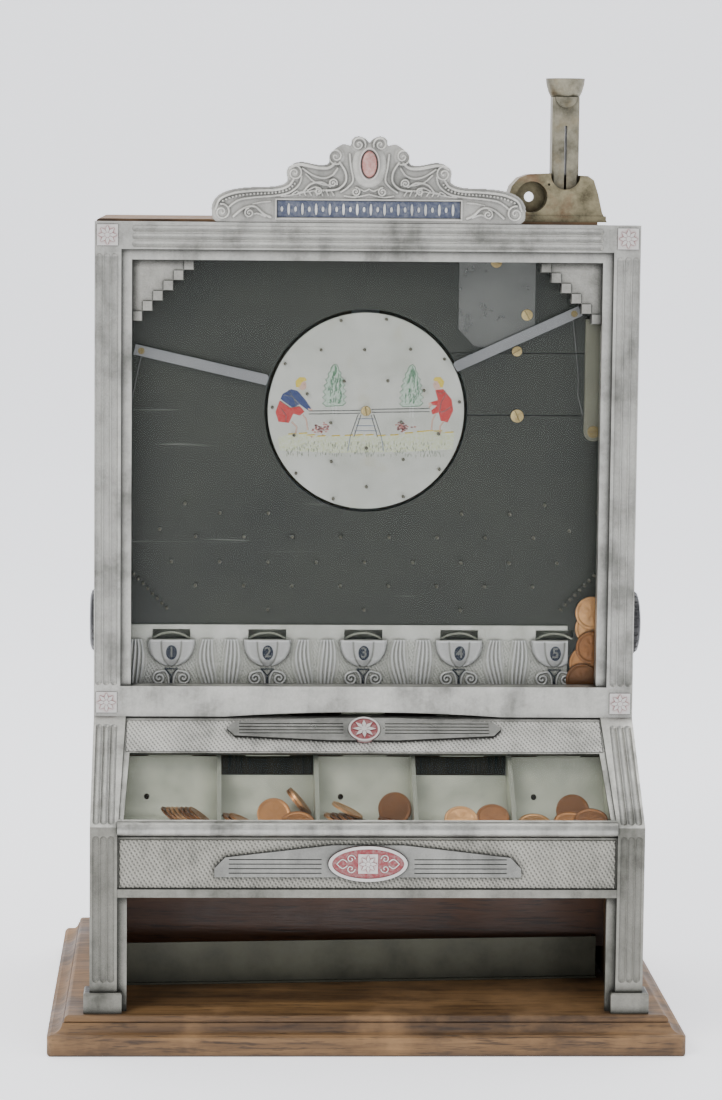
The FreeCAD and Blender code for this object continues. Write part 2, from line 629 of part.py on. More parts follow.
# ---- rocking disc and its arms -----------------------------------------------------
def disc():
    plate = rod_y(DISC_X, DISC_Z, DISC_R, DISC_Y0, DISC_Y1)
    plate = plate.makeFillet(0.4, [e for e in plate.Edges if e.BoundBox.YMax < DISC_Y0 + 0.1])
    save("disc", plate.cut(rod_y(DISC_X, DISC_Z, PIVOT_R + SLIP, DISC_Y0 - 1, DISC_Y1 + 1)))
    pins = []
    for start, radius, extra in ((54.8, 21.5, (0,)), (20.0, 35.5, (0,)), (54.8, 44.0, (0,)),
                                 (20.0, 54.3, (-14, 14))):
        for k in range(5):
            for more in extra:
                a = math.radians(start + 72 * k + more)
                x = DISC_X + radius * math.cos(a)
                pins.append(nail(x, DISC_Z + radius * math.sin(a), DISC_Y0, DISC_PIN_TIP_Y))
    save("disc_pins", *pins)
    hub = rod_y(DISC_X, DISC_Z, 7.0, DISC_Y1, BRIDGE_Y0 - 0.4)
    save("disc_hub", hub.cut(rod_y(DISC_X, DISC_Z, PIVOT_R + SLIP, DISC_Y1, BRIDGE_Y0)))
    weight_y = DISC_Y1 + 5.0
    ring = rod_y(DISC_X, DISC_Z, 50.0, DISC_Y1, weight_y).cut(rod_y(DISC_X, DISC_Z, 36.0, DISC_Y1, weight_y))
    corners = [(DISC_X, DISC_Z), (DISC_X - 45, DISC_Z - 70), (DISC_X + 45, DISC_Z - 70)]
    wedge = plate_xz(corners, DISC_Y1, weight_y)
    save("disc_weight", ring.common(wedge))


def disc_pivot():
    strap = box(DISC_X - 8, DISC_X + 8, BRIDGE_Y0, BRIDGE_Y0 + BRIDGE_T, DISC_Z - 76, DISC_Z + 76)
    save("disc_bridge", strap.cut(rod_y(DISC_X, DISC_Z, PIVOT_R, BRIDGE_Y0, BRIDGE_Y0 + BRIDGE_T)))
    bolt = rod_y(DISC_X, DISC_Z, PIVOT_R, DISC_Y0 - 0.4, BRIDGE_Y0 + BRIDGE_T + 3.5)
    head = rod_y(DISC_X, DISC_Z, 2.9, DISC_Y0 - 1.9, DISC_Y0 - 0.4)
    head = head.makeFillet(0.6, [e for e in head.Edges if e.BoundBox.YMax < DISC_Y0 - 1.8])
    groove = box(-4, 4, DISC_Y0 - 2.2, DISC_Y0 - 1.2, -0.35, 0.35)
    groove.rotate(V(0, 0, 0), V(0, 1, 0), 80)
    groove.translate(V(DISC_X, 0, DISC_Z))
    nut = rod_y(DISC_X, DISC_Z, 4.0, BRIDGE_Y0 + BRIDGE_T, BRIDGE_Y0 + BRIDGE_T + 3.0)
    return join([bolt, head, nut]).cut(groove)


def arm_outline(pin, tip):
    """Strip from a square outer end past the pin to a tip with one rounded corner."""
    length = math.hypot(tip[0] - pin[0], tip[1] - pin[1])
    ux = (tip[0] - pin[0]) / length
    uz = (tip[1] - pin[1]) / length
    up = 1.0 if ux < 0 else -1.0

    def at(along, above):
        return (pin[0] + ux * along + uz * above * up, pin[1] + uz * along - ux * above * up)

    round_r = 2.2
    corner = [at(length - round_r + round_r * math.sin(a), ARM_HALF - round_r + round_r * math.cos(a))
              for a in [math.radians(15 * k) for k in range(7)]]
    return [at(-4.0, -ARM_HALF), at(-4.0, ARM_HALF)] + corner + [at(length - 0.6, -ARM_HALF)]


def arms():
    rivets = []
    springs = []
    wire_r = 0.25
    wires = {"arm_right": [(119.9, 407.2), (121.4, 394.0), (123.5, 374.0), (123.4, 364.0), (126.4, 352.0)],
             "arm_left": [(-129.4, 384.6), (-131.6, 375.0), (-132.9, 368.0), (-136.4, 352.0)]}
    for name, (pin, tip) in ARMS.items():
        strip = plate_xz(arm_outline(pin, tip), ARM_Y0, ARM_Y1)
        save(name, strip.cut(rod_y(pin[0], pin[1], RIVET_R + SLIP, ARM_Y0 - 1, ARM_Y1 + 1)))
        shank = rod_y(pin[0], pin[1], RIVET_R, ARM_Y0 - 0.2, BOARD_Y)
        collar = rod_y(pin[0], pin[1], 2.3, ARM_Y1 + 0.3, BOARD_Y)
        head = rod_y(pin[0], pin[1], 1.9, ARM_Y0 - 1.0, ARM_Y0 - 0.3)
        rivets.append(join([shank, collar, head]))
        y = (ARM_Y1 + BOARD_Y) / 2
        joint_r = wire_r + 0.06
        start = V(pin[0], y, pin[1] - 2.6)
        route = [start] + [V(x, y, z) for x, z in wires[name]]
        pieces = [Part.makeTorus(2.6, wire_r, V(pin[0], y, pin[1]), V(0, 1, 0)),
                  Part.makeSphere(joint_r, start)]
        for a, b in zip(route, route[1:]):
            pieces.append(Part.makeCylinder(wire_r, (b - a).Length, a, b - a))
            pieces.append(Part.makeSphere(joint_r, b))
        springs.append(join(pieces))
    save("pivot_pins", disc_pivot(), *rivets)
    save("arm_springs", *springs)


# ---- coins ---------------------------------------------------------------------
def coin(x, y, z, turn_x, turn_y, turn_z=0.0):
    """A penny with a raised rim, first facing up, then turned about X, Y and Z."""
    blank = Part.makeCylinder(COIN_R, COIN_T, V(0, 0, -COIN_T / 2))
    dish = Part.makeCylinder(COIN_R - 0.8, 0.2, V(0, 0, COIN_T / 2 - 0.15))
    other = Part.makeCylinder(COIN_R - 0.8, 0.2, V(0, 0, -COIN_T / 2 - 0.05))
    blank = blank.cut([dish, other])
    blank.rotate(V(0, 0, 0), V(1, 0, 0), turn_x)
    blank.rotate(V(0, 0, 0), V(0, 1, 0), turn_y)
    blank.rotate(V(0, 0, 0), V(0, 0, 1), turn_z)
    blank.translate(V(x, y, z))
    return blank


def coins():
    front = BOARD_Y - 3.1
    back = BOARD_Y - 1.2
    spots = [(133.4, 237.0, front), (134.0, 216.6, front), (128.4, 197.4, front),
             (133.6, 227.6, back), (130.4, 207.4, back)]
    save("channel_coins", *[coin(x, y, z, 90, 0) for x, z, y in spots])
    pile = []
    for k in range(7):
        pile.append(coin(-108.6 + 2.6 * k, -91.0, 127.3, 0, 38))
    for k in range(2):
        pile.append(coin(-73.0 + 3.9 * k, -93.0, 125.6, 0, 26))
    pile.append(coin(-52.4, -88.0, 129.1, 56, 0))
    for k in range(2):
        pile.append(coin(-38.5 + 1.24 * k, -78.2, 133.6 + 1.04 * k, 0, 50))
    pile.append(coin(-38.9, -97.2, 125.9, 28, 0))
    for k in range(4):
        pile.append(coin(-15.4 + 3.9 * k, -92.0, 125.7, 0, 26))
    pile.append(coin(-10.6, -86.0, 131.0, 0, 26))
    pile.append(coin(16.6, -83.0, 131.2, 76, 0))
    pile.append(coin(15.4, -95.6, 125.0, 0, 20))
    pile.append(coin(53.4, -96.0, 127.5, 40, 0))
    pile.append(coin(71.8, -91.5, 127.8, 40, 0))
    pile.append(coin(118.2, -83.0, 130.3, 64, 0))
    pile.append(coin(115.2, -97.0, 125.9, 28, 0))
    pile.append(coin(127.2, -97.0, 127.9, 28, 0))
    pile.append(coin(95.0, -97.0, 125.3, 24, 0))
    save("compartment_coins", *pile)


# ---- coin head -------------------------------------------------------------------
def coin_head():
    """Brass head on the top board: a round window, a U notch and a pocket for the plunger."""
    outline = [(81.6, TOP_Z), (80.4, 477.5), (82.6, 484.4), (87.0, 489.2), (92.4, 491.2), (106.6, 491.8),
               (122.4, 490.6), (126.4, 490.4), (129.8, 488.0), (132.4, 480.0), (134.8, 469.4), (137.7, TOP_Z)]
    body = plate_xz(outline, HEAD_Y0, HEAD_Y1)
    foot = box(82.6, 137.0, HEAD_Y0 - 0.9, HEAD_Y1 + 0.9, TOP_Z, TOP_Z + 3.4)
    well = rod_y(94.3, 478.2, 8.9, HEAD_Y0 - 2, HEAD_Y1 - 5.0)
    light = rod_y(94.3, 478.2, 2.9, HEAD_Y0, HEAD_Y1 + 1)
    coin_way = box(84.3, 104.3, -33.0, -29.8, TOP_Z, 478.2)
    notch = join([rod_y(PLUNGER_X, 491.0, 8.5, HEAD_Y0 - 2, -30.0),
                  box(PLUNGER_X - 8.5, PLUNGER_X + 8.5, HEAD_Y0 - 2, -30.0, 491.0, 500.0)])
    pocket = box(PLUNGER_X - 8.05, PLUNGER_X + 8.05, PLUNGER_Y - 7.3, PLUNGER_Y + 7.3, TOP_Z, 500.0)
    peg_hole = rod_y(104.0, 485.4, 0.7, HEAD_Y0 - 1, HEAD_Y0 + 2.5)
    casting = join([body, foot]).cut([well, light, coin_way, notch, pocket, peg_hole])
    guide_pin = rod_y(PLUNGER_X, 481.4, 0.55, -30.0, PLUNGER_Y + 7.3)
    save("coin_head", casting, guide_pin)


def plunger():
    stem = box(PLUNGER_X - 7.75, PLUNGER_X + 7.75, PLUNGER_Y - 7.0, PLUNGER_Y + 7.0, 478.0, 535.4)
    slot = box(PLUNGER_X - 0.7, PLUNGER_X + 0.7, PLUNGER_Y - 8, PLUNGER_Y + 8, 480.4, 519.0)
    stem = stem.makeChamfer(1.2, [e for e in stem.Edges if e.BoundBox.ZLength > 50])
    boss = rod_y(PLUNGER_X, 535.4, 6.1, PLUNGER_Y - 9.0, PLUNGER_Y - 6.9)
    boss = boss.common(box(90, 130, -60, 0, 520, 535.4))
    save("plunger_stem", join([stem, boss]).cut(slot))
    dish = [(0, 535.4), (8.2, 535.4), (9.6, 538.2), (10.8, 542.4), (11.25, 546.0), (10.2, 546.0),
            (8.6, 543.6),
            (5.0, 541.8), (0, 541.4)]
    save("thumb_cup", revolve_z(dish, PLUNGER_X, PLUNGER_Y))
    helix = Part.makeHelix(2.6, 12.4, 4.2)
    profile = Part.Wire([Part.makeCircle(0.45, V(4.2, 0, 0), V(0, 1, 0))])
    spring = Part.Wire(helix).makePipeShell([profile], True, True)
    spring.translate(V(PLUNGER_X, PLUNGER_Y, TOP_Z + 0.75))
    save("plunger_spring", spring)


# ---- payout rod --------------------------------------------------------------------


def payout_rod():
    left = -KNOB_REACH + ROD_SHIFT + KNOB_T
    right = KNOB_REACH + ROD_SHIFT - KNOB_T
    save("payout_rod", rod_x(left, right, ROD_Y, ROD_Z, ROD_R))
    profile = [(0, 0), (0, KNOB_R - 2.0), (0.8, KNOB_R - 0.6), (2.0, KNOB_R), (5.0, KNOB_R),
               (6.6, KNOB_R - 1.2),
               (KNOB_T, KNOB_R - 4.0), (KNOB_T, 6.0), (KNOB_T - 0.8, 5.0), (KNOB_T - 0.8, 0)]
    knob = revolve_x(profile, 0, 0, 0)
    grips = [rod_x(-1, KNOB_T + 1, (KNOB_R + 0.7) * math.cos(a), (KNOB_R + 0.7) * math.sin(a), 1.4)
             for a in [math.radians(15 * k) for k in range(24)]]
    knob = knob.cut(grips)
    right_knob = knob.copy()
    right_knob.translate(V(right, ROD_Y, ROD_Z))
    left_knob = mirror_x(knob)
    left_knob.translate(V(left, ROD_Y, ROD_Z))
    save("payout_knobs", left_knob, right_knob)
    bush = rod_x(SIDE_IN - 2.0, SIDE_OUT, ROD_Y, ROD_Z, BUSH_R)
    bush = join([bush, rod_x(SIDE_IN - 2.0, SIDE_IN, ROD_Y, ROD_Z, BUSH_R + 2.2)])
    bush = bush.cut(rod_x(SIDE_IN - 5.0, SIDE_OUT + 1, ROD_Y, ROD_Z, ROD_R + SLIP))
    save("rod_bushes", *both(bush))
    fingers = []
    for x in CUP_X:
        collar = rod_x(x - 4, x + 4, ROD_Y, ROD_Z, 5.2)
        blade = box(x - 1.2, x + 1.2, ROD_Y - 1.4, ROD_Y + 1.4, ROD_Z - 22.0, ROD_Z)
        blade.rotate(V(x, ROD_Y, ROD_Z), V(1, 0, 0), 8)
        finger = join([collar, blade]).cut(rod_x(x - 5, x + 5, ROD_Y, ROD_Z, ROD_R + 0.01))
        fingers.append(finger)
    save("payout_fingers", *fingers)


# ---- back door, lock and cash drawer ----------------------------------------------
def back_door():
    door = box(-SIDE_IN + 0.6, SIDE_IN - 0.6, BACK_Y - DOOR_T, BACK_Y, DOOR_Z0, DOOR_Z1)
    save("back_door", door.cut(rod_y(LOCK_X, LOCK_Z, 9.0, BACK_Y - DOOR_T, BACK_Y)))
    fixed = []
    moving = []
    pins = []
    knuckle_r = 2.0
    bore = 1.0
    for z in HINGE_Z:
        hole = rod_z(HINGE_X, HINGE_Y, bore + SLIP, z - 25, z + 25)
        leaf = box(SIDE_OUT * -1 + 0.5, HINGE_X - 0.2, BACK_Y, BACK_Y + 1.0, z - 20, z + 20)
        web = box(HINGE_X - 2.0, HINGE_X, BACK_Y, HINGE_Y, z - 20, z + 20)
        outer = [rod_z(HINGE_X, HINGE_Y, knuckle_r, z + s * 13.8 - 6.2, z + s * 13.8 + 6.2) for s in (-1, 1)]
        middle_gap = box(HINGE_X - 2.6, HINGE_X + 3, BACK_Y, HINGE_Y + 3, z - 7.3, z + 7.3)
        fixed.append(join([leaf, web] + outer).cut([hole, middle_gap]))
        plate = box(HINGE_X + 0.8, HINGE_X + 14, BACK_Y, BACK_Y + 1.0, z - 20, z + 20)
        tongue = box(HINGE_X + 0.4, HINGE_X + 2.0, BACK_Y + 0.2, HINGE_Y, z - 6.8, z + 6.8)
        centre = rod_z(HINGE_X, HINGE_Y, knuckle_r, z - 6.8, z + 6.8)
        side_cut = [rod_z(HINGE_X, HINGE_Y, knuckle_r + 0.3, z + s * 14.1 - 6.9, z + s * 14.1 + 6.9)
                    for s in (-1, 1)]
        plate = plate.cut(side_cut)
        moving.append(join([plate, tongue, centre]).cut(hole))
        pins.append(join([rod_z(HINGE_X, HINGE_Y, bore, z - 20, z + 20),
                          rod_z(HINGE_X, HINGE_Y, 1.7, z + 20.1, z + 21.3)]))
    save("hinge_leaves_fixed", *(fixed + pins))
    save("hinge_leaves_door", *moving)


def lock():
    y0 = BACK_Y - DOOR_T
    barrel = rod_y(LOCK_X, LOCK_Z, 8.9, y0 - 2.0, BACK_Y)
    flange = rod_y(LOCK_X, LOCK_Z, 11.0, BACK_Y, BACK_Y + 1.6)
    bore = rod_y(LOCK_X, LOCK_Z, 5.5 + SLIP, y0 - 3, BACK_Y + 2)
    save("lock_barrel", join([barrel, flange]).cut(bore))
    plug = rod_y(LOCK_X, LOCK_Z, 5.5, y0 - 2.6, BACK_Y + 1.4)
    keyway = box(LOCK_X - 0.6, LOCK_X + 0.6, BACK_Y - 6, BACK_Y + 2, LOCK_Z - 3.2, LOCK_Z + 3.2)
    arm = box(LOCK_X - 5, LOCK_X + 5, y0 - 4.2, y0 - 2.6, LOCK_Z - 22.5, LOCK_Z + 6.5)
    save("lock_plug", plug.cut(keyway), arm)
    plate = box(SIDE_IN - 9.0, SIDE_IN, y0 - 2.0, y0 - 0.5, LOCK_Z - 9, LOCK_Z + 9)
    leg = box(SIDE_IN - 1.4, SIDE_IN, y0 - 18.0, y0 - 2.0, LOCK_Z - 9, LOCK_Z + 9)
    save("lock_strike", join([plate, leg]))


def cash_drawer():
    wall = 4.0
    y1 = BACK_Y - 8.0
    outer = box(-DRAWER_X, DRAWER_X, DRAWER_Y0, y1, DRAWER_Z0, DRAWER_TOP - 4.0)
    inner = box(-DRAWER_X + wall, DRAWER_X - wall, DRAWER_Y0 + wall, y1, DRAWER_Z0 + wall, DRAWER_TOP)
    save("cash_drawer", outer.cut(inner), box(-DRAWER_X, DRAWER_X, y1, BACK_Y, DRAWER_Z0, DRAWER_TOP))
    knob = revolve_z([(0, 0), (3.4, 0), (2.6, 2.0), (2.4, 4.0), (4.6, 6.0), (6.2, 8.6), (5.6, 11.4),
                      (3.4, 12.8), (0, 13.2)],
                     0, 0)
    knob.rotate(V(0, 0, 0), V(1, 0, 0), -90)
    knob.translate(V(0, BACK_Y, (DRAWER_Z0 + DRAWER_TOP) / 2))
    save("drawer_pull", knob)


def build():
    os.makedirs("parts", exist_ok=True)
    for make in (wood_base, side_panels, top_panel, back_rails, cavity_wall, window_frame, corner_brackets,
                 corner_rosettes, window_glass, crest, sloped_frame, slope_ornament, tray, apron, columns,
                 playfield_board, playfield_pins, cup_strip, coin_troughs, rail_and_chute, disc, arms, coins,
                 coin_head, plunger, payout_rod, back_door, lock, cash_drawer):
        make()


build()
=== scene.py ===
import math

import bpy
import numpy as np
from mathutils import Matrix, Vector


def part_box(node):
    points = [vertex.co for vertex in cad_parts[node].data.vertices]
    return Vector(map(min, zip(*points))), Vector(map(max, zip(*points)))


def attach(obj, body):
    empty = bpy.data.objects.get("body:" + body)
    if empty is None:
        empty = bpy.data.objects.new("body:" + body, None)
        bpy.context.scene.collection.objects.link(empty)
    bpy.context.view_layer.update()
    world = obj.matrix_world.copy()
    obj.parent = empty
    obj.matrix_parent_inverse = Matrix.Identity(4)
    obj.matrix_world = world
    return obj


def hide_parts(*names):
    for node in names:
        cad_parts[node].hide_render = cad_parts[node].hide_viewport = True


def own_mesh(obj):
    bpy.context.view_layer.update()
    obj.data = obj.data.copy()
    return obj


# Looks of the counter-top penny drop machine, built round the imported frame.
# Helper functions take millimetres and turn them into the scene's metres.

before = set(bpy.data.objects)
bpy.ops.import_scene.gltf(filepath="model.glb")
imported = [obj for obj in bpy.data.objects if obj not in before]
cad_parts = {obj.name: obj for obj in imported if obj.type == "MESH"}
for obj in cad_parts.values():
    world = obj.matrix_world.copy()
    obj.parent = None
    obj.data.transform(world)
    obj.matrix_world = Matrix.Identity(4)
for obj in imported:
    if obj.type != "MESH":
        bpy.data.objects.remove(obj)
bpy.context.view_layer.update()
SEED = 7
RNG = np.random.default_rng(SEED)

MM = 0.001


def corner(node):
    """Lowest and highest corner of a CAD node, in mm."""
    low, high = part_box(node)
    return low / MM, high / MM


FRAME_LO = corner("window_frame")[0]
DISC_LO, DISC_HI = corner("disc")
APRON_LO, APRON_HI = corner("apron")
STRIP_LO, STRIP_HI = corner("cup_strip")
CREST_LO, CREST_HI = corner("crest")
LEG_TOP = corner("column_left")[1].z
LEG_FRONT = APRON_LO.y - 0.2
DISC_X = (DISC_LO.x + DISC_HI.x) / 2
DISC_Z = (DISC_LO.z + DISC_HI.z) / 2


# ---- mesh helpers ---------------------------------------------------------
def finish_piece(obj, material, body, replaces=()):
    obj.data.materials.clear()
    obj.data.materials.append(material)
    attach(obj, body)
    if replaces:
        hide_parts(*replaces)
    return obj


def mesh_object(name, points, faces, smooth=None):
    mesh = bpy.data.meshes.new(name)
    mesh.from_pydata(np.asarray(points).tolist(), [], np.asarray(faces).tolist()
                     if isinstance(faces, np.ndarray) else faces)
    if smooth is not None:
        mesh.polygons.foreach_set("use_smooth", smooth)
    mesh.update()
    obj = bpy.data.objects.new(name, mesh)
    bpy.context.scene.collection.objects.link(obj)
    return obj


def upright(y_face):
    """Puts relief coordinates (across, up, out) on a plane that looks to the front."""
    return lambda x, v, h: np.stack([x, y_face - h, v], -1)


SLOPE = Vector((LEG_FRONT - FRAME_LO.y, LEG_TOP - FRAME_LO.z)).normalized()


def sloping(x, v, h):
    """Puts relief coordinates (across, up the slope from its upper edge, out) on the sloped casting."""
    return np.stack([x, FRAME_LO.y - v * SLOPE.x + h * SLOPE.y, FRAME_LO.z - v * SLOPE.y - h * SLOPE.x], -1)


def blurred(H, reach):
    """Mean of a height grid over a square window, with repeated edges."""
    for axis in (0, 1):
        pad = [(reach + 1, reach) if k == axis else (0, 0) for k in (0, 1)]
        total = np.cumsum(np.pad(H, pad, mode="edge"), axis)
        wide = 2 * reach + 1
        H = (np.take(total, range(wide, total.shape[axis]), axis)
             - np.take(total, range(total.shape[axis] - wide), axis)) / wide
    return H


RIDGE_REACH = 1.1


def everywhere(x, v):
    return np.ones(x.shape, bool)


def relief(name, x_span, v_span, step, height, inside, place, depth, light_shade_span):
    """A closed plate: its front rises by height(x, v) wherever inside(x, v) holds.

    The last argument gives the heights that get the darkest painted shade and the brightest painted
    highlight; ridges get a further painted highlight and creases painted shade on top of that."""
    nx = int(round((x_span[1] - x_span[0]) / step)) + 1
    nv = int(round((v_span[1] - v_span[0]) / step)) + 1
    xs = np.linspace(x_span[0], x_span[1], nx)
    vs = np.linspace(v_span[0], v_span[1], nv)
    X, W = np.meshgrid(xs, vs)
    H = height(X, W)
    XC, WC = np.meshgrid((xs[1:] + xs[:-1]) / 2, (vs[1:] + vs[:-1]) / 2)
    M = inside(XC, WC)
    n = nx * nv
    idx = np.arange(n).reshape(nv, nx)
    a, b, c, d = idx[:-1, :-1], idx[:-1, 1:], idx[1:, 1:], idx[1:, :-1]
    P = np.pad(M, 1)
    left = M & ~P[1:-1, :-2]
    right = M & ~P[1:-1, 2:]
    under = M & ~P[:-2, 1:-1]
    above = M & ~P[2:, 1:-1]

    def quads(mask, *corners):
        return np.stack([q[mask] for q in corners], -1)

    faces = [quads(M, a, b, c, d), quads(M, a + n, d + n, c + n, b + n),
             quads(left, a, d, d + n, a + n), quads(right, b, b + n, c + n, c),
             quads(under, a, a + n, b + n, b), quads(above, d, c, c + n, d + n)]
    fronts = len(faces[0])
    faces = np.concatenate(faces)
    front = place(X, W, H).reshape(-1, 3)
    back = place(X, W, np.full_like(H, -depth)).reshape(-1, 3)
    points = np.concatenate([front, back]) * MM
    used, faces = np.unique(faces, return_inverse=True)
    faces = faces.reshape(-1, 4)
    smooth = np.zeros(len(faces), bool)
    smooth[:fronts] = True
    obj = mesh_object(name, points[used], faces, smooth)
    # painted light and shade: the tone attribute is brightest on high ground and ridges, darkest on low
    # ground and in creases
    around = max(1, round(RIDGE_REACH / step))
    ridges = (H - blurred(H, around)) / (0.25 * (light_shade_span[1] - light_shade_span[0]))
    shade = np.clip(0.25 + 0.5 * np.interp(H, light_shade_span, (0, 1)) + 0.25 * ridges, 0, 1).reshape(-1)
    tone = obj.data.attributes.new("tone", "FLOAT", "POINT")
    tone.data.foreach_set("value", np.concatenate([shade, np.full(n, 0.5)])[used].astype(np.float32))
    return obj


def smooth_line(points, cuts=6):
    """Catmull-Rom line through given points."""
    p = np.array([points[0]] + list(points) + [points[-1]], float)
    out = []
    for i in range(1, len(p) - 2):
        for t in np.linspace(0, 1, cuts, endpoint=False):
            out.append(0.5 * (2 * p[i] + (p[i + 1] - p[i - 1]) * t
                              + (2 * p[i - 1] - 5 * p[i] + 4 * p[i + 1] - p[i + 2]) * t ** 2
                              + (3 * p[i] - p[i - 1] - 3 * p[i + 1] + p[i + 2]) * t ** 3))
    out.append(p[-2])
    return np.array(out)


def line_distance(X, Z, line):
    best = np.full(X.shape, 1e9)
    for (x0, z0), (x1, z1) in zip(line[:-1], line[1:]):
        dx, dz = x1 - x0, z1 - z0
        t = np.clip(((X - x0) * dx + (Z - z0) * dz) / (dx * dx + dz * dz + 1e-12), 0, 1)
        best = np.minimum(best, np.hypot(X - x0 - t * dx, Z - z0 - t * dz))
    return best


def ridge(X, Z, line, half_width, height):
    """A rounded cord laid along a line."""
    d = line_distance(X, Z, line)
    return height * np.sqrt(np.clip(1 - (d / half_width) ** 2, 0, 1))


def spiral(cx, cz, radius, turns, start, way):
    t = np.linspace(0, 1, int(16 * turns) + 2)
    angle = math.radians(start) + way * 2 * math.pi * turns * t
    r = radius * (1 - t) ** 0.8 + 0.25
    return np.stack([cx + r * np.cos(angle), cz + r * np.sin(angle)], -1)


def inside_distance(X, Z, outline):
    """Distance to a closed outline, positive inside it."""
    closed = np.array(list(outline) + [outline[0]], float)
    d = line_distance(X, Z, closed)
    odd = np.zeros(X.shape, bool)
    for (x0, z0), (x1, z1) in zip(closed[:-1], closed[1:]):
        crosses = (z0 > Z) != (z1 > Z)
        at = x0 + (Z - z0) * (x1 - x0) / (z1 - z0 if z1 != z0 else 1e-9)
        odd ^= crosses & (X < at)
    return np.where(odd, d, -d)


def weave(X, Z, pitch, height):
    """Small lapped scales in slanting rows."""
    u = (X + 0.62 * Z) / pitch
    w = (0.62 * X - Z) / pitch
    return height * (0.5 + 0.5 * np.sin(2 * math.pi * u) * np.sin(math.pi * w) ** 2) ** 0.8


def lines_piece(name, polylines, radius, y, material, body, parts=3):
    """Thin round strokes lying on a plane that looks to the front."""
    data = bpy.data.curves.new(name, "CURVE")
    data.dimensions = "3D"
    data.bevel_depth = radius * MM
    data.bevel_resolution = parts
    data.use_fill_caps = True
    for line in polylines:
        spline = data.splines.new("POLY")
        spline.points.add(len(line) - 1)
        for point, (x, z) in zip(spline.points, line):
            point.co = (x * MM, y * MM, z * MM, 1)
    obj = bpy.data.objects.new(name, data)
    bpy.context.scene.collection.objects.link(obj)
    return finish_piece(obj, material, body)


def patches(name, outlines, y_front, y_back, material, body, place=None):
    """Flat shapes of a stated thickness, looking to the front or laid out by place(across, up, out)."""
    place = place or (lambda x, v, h: np.stack([x, h, v], -1))
    points = []
    faces = []
    for outline in outlines:
        n = len(outline)
        area = sum(x0 * z1 - x1 * z0 for (x0, z0), (x1, z1) in zip(outline, list(outline[1:]) + [outline[0]]))
        if area < 0:
            outline = list(outline)[::-1]
        k = len(points)
        flat = np.array(outline, float)
        for out in (y_front, y_back):
            points += (place(flat[:, 0], flat[:, 1], np.full(n, float(out))) * MM).tolist()
        faces.append(list(range(k, k + n)))
        faces.append(list(range(k + 2 * n - 1, k + n - 1, -1)))
        faces += [[k + (i + 1) % n, k + i, k + n + i, k + n + (i + 1) % n] for i in range(n)]
    obj = mesh_object(name, points, faces)
    return finish_piece(obj, material, body)


def ellipse(cx, cz, a, b, count=28):
    out = []
    for k in range(count):
        t = 2 * math.pi * k / count
        x, z = a * math.cos(t), b * math.sin(t)
        out.append((cx + x, cz + z))
    return out


# ---- material helpers ------------------------------------------------------
class Nodes:
    """Short way to write a procedural material. Texture sizes are cells per metre."""

    def __init__(self, name, roughness=0.5, metallic=0.0):
        self.material = bpy.data.materials.new(name)
        self.material.use_nodes = True
        self.tree = self.material.node_tree
        self.shader = self.tree.nodes["Principled BSDF"]
        self.shader.inputs["Roughness"].default_value = roughness
        self.shader.inputs["Metallic"].default_value = metallic
        self.place = self.tree.nodes.new("ShaderNodeTexCoord").outputs["Object"]

    def new(self, kind, **settings):
        node = self.tree.nodes.new(kind)
        for key, value in settings.items():
            setattr(node, key, value)
        return node

    def link(self, a, b):
        self.tree.links.new(a, b)

    def stretch(self, sx, sy, sz, turn=(0, 0, 0)):
        node = self.new("ShaderNodeMapping")
        node.inputs["Scale"].default_value = (sx, sy, sz)
        node.inputs["Rotation"].default_value = [math.radians(t) for t in turn]
        self.link(self.place, node.inputs["Vector"])
        return node.outputs["Vector"]

    def noise(self, scale, detail=5.0, rough=0.6, where=None, warp=0.0):
        node = self.new("ShaderNodeTexNoise")
        node.inputs["Scale"].default_value = scale
        node.inputs["Detail"].default_value = detail
        node.inputs["Roughness"].default_value = rough
        node.inputs["Distortion"].default_value = warp
        self.link(where or self.place, node.inputs["Vector"])
        return node.outputs["Fac"]

    def ramp(self, value, stops):
        node = self.new("ShaderNodeValToRGB")
        points = node.color_ramp.elements
        while len(points) < len(stops):
            points.new(0.5)
        for point, (at, colour) in zip(points, stops):
            point.position = at
            point.color = (*colour, 1.0) if len(colour) == 3 else colour
        self.link(value, node.inputs["Fac"])
        return node.outputs["Color"]

    def span(self, value, low, high, to_low=0.0, to_high=1.0):
        node = self.new("ShaderNodeMapRange")
        node.inputs["From Min"].default_value = low
        node.inputs["From Max"].default_value = high
        node.inputs["To Min"].default_value = to_low
        node.inputs["To Max"].default_value = to_high
        self.link(value, node.inputs["Value"])
        return node.outputs["Result"]

    def math(self, how, a, b):
        node = self.new("ShaderNodeMath", operation=how)
        for socket, value in zip(node.inputs, (a, b)):
            if isinstance(value, (int, float)):
                socket.default_value = value
            else:
                self.link(value, socket)
        return node.outputs["Value"]

    def mix(self, factor, a, b, how="MIX"):
        node = self.new("ShaderNodeMix", data_type="RGBA", blend_type=how)
        for socket, value in ((node.inputs[0], factor), (node.inputs[6], a), (node.inputs[7], b)):
            if isinstance(value, (int, float)):
                socket.default_value = value
            elif isinstance(value, tuple):
                socket.default_value = (*value, 1.0)
            else:
                self.link(value, socket)
        return node.outputs[2]

    def hollow_dark(self, distance):
        """1 on open faces, towards 0 in corners and grooves."""
        node = self.new("ShaderNodeAmbientOcclusion", samples=6)
        node.inputs["Distance"].default_value = distance
        return node.outputs["AO"]

    def colour(self, value):
        self.link(value, self.shader.inputs["Base Color"])

    def rough(self, value):
        self.link(value, self.shader.inputs["Roughness"])

    def bump(self, value, strength, distance):
        node = self.new("ShaderNodeBump")
        node.inputs["Strength"].default_value = strength
        node.inputs["Distance"].default_value = distance
        self.link(value, node.inputs["Height"])
        self.link(node.outputs["Normal"], self.shader.inputs["Normal"])


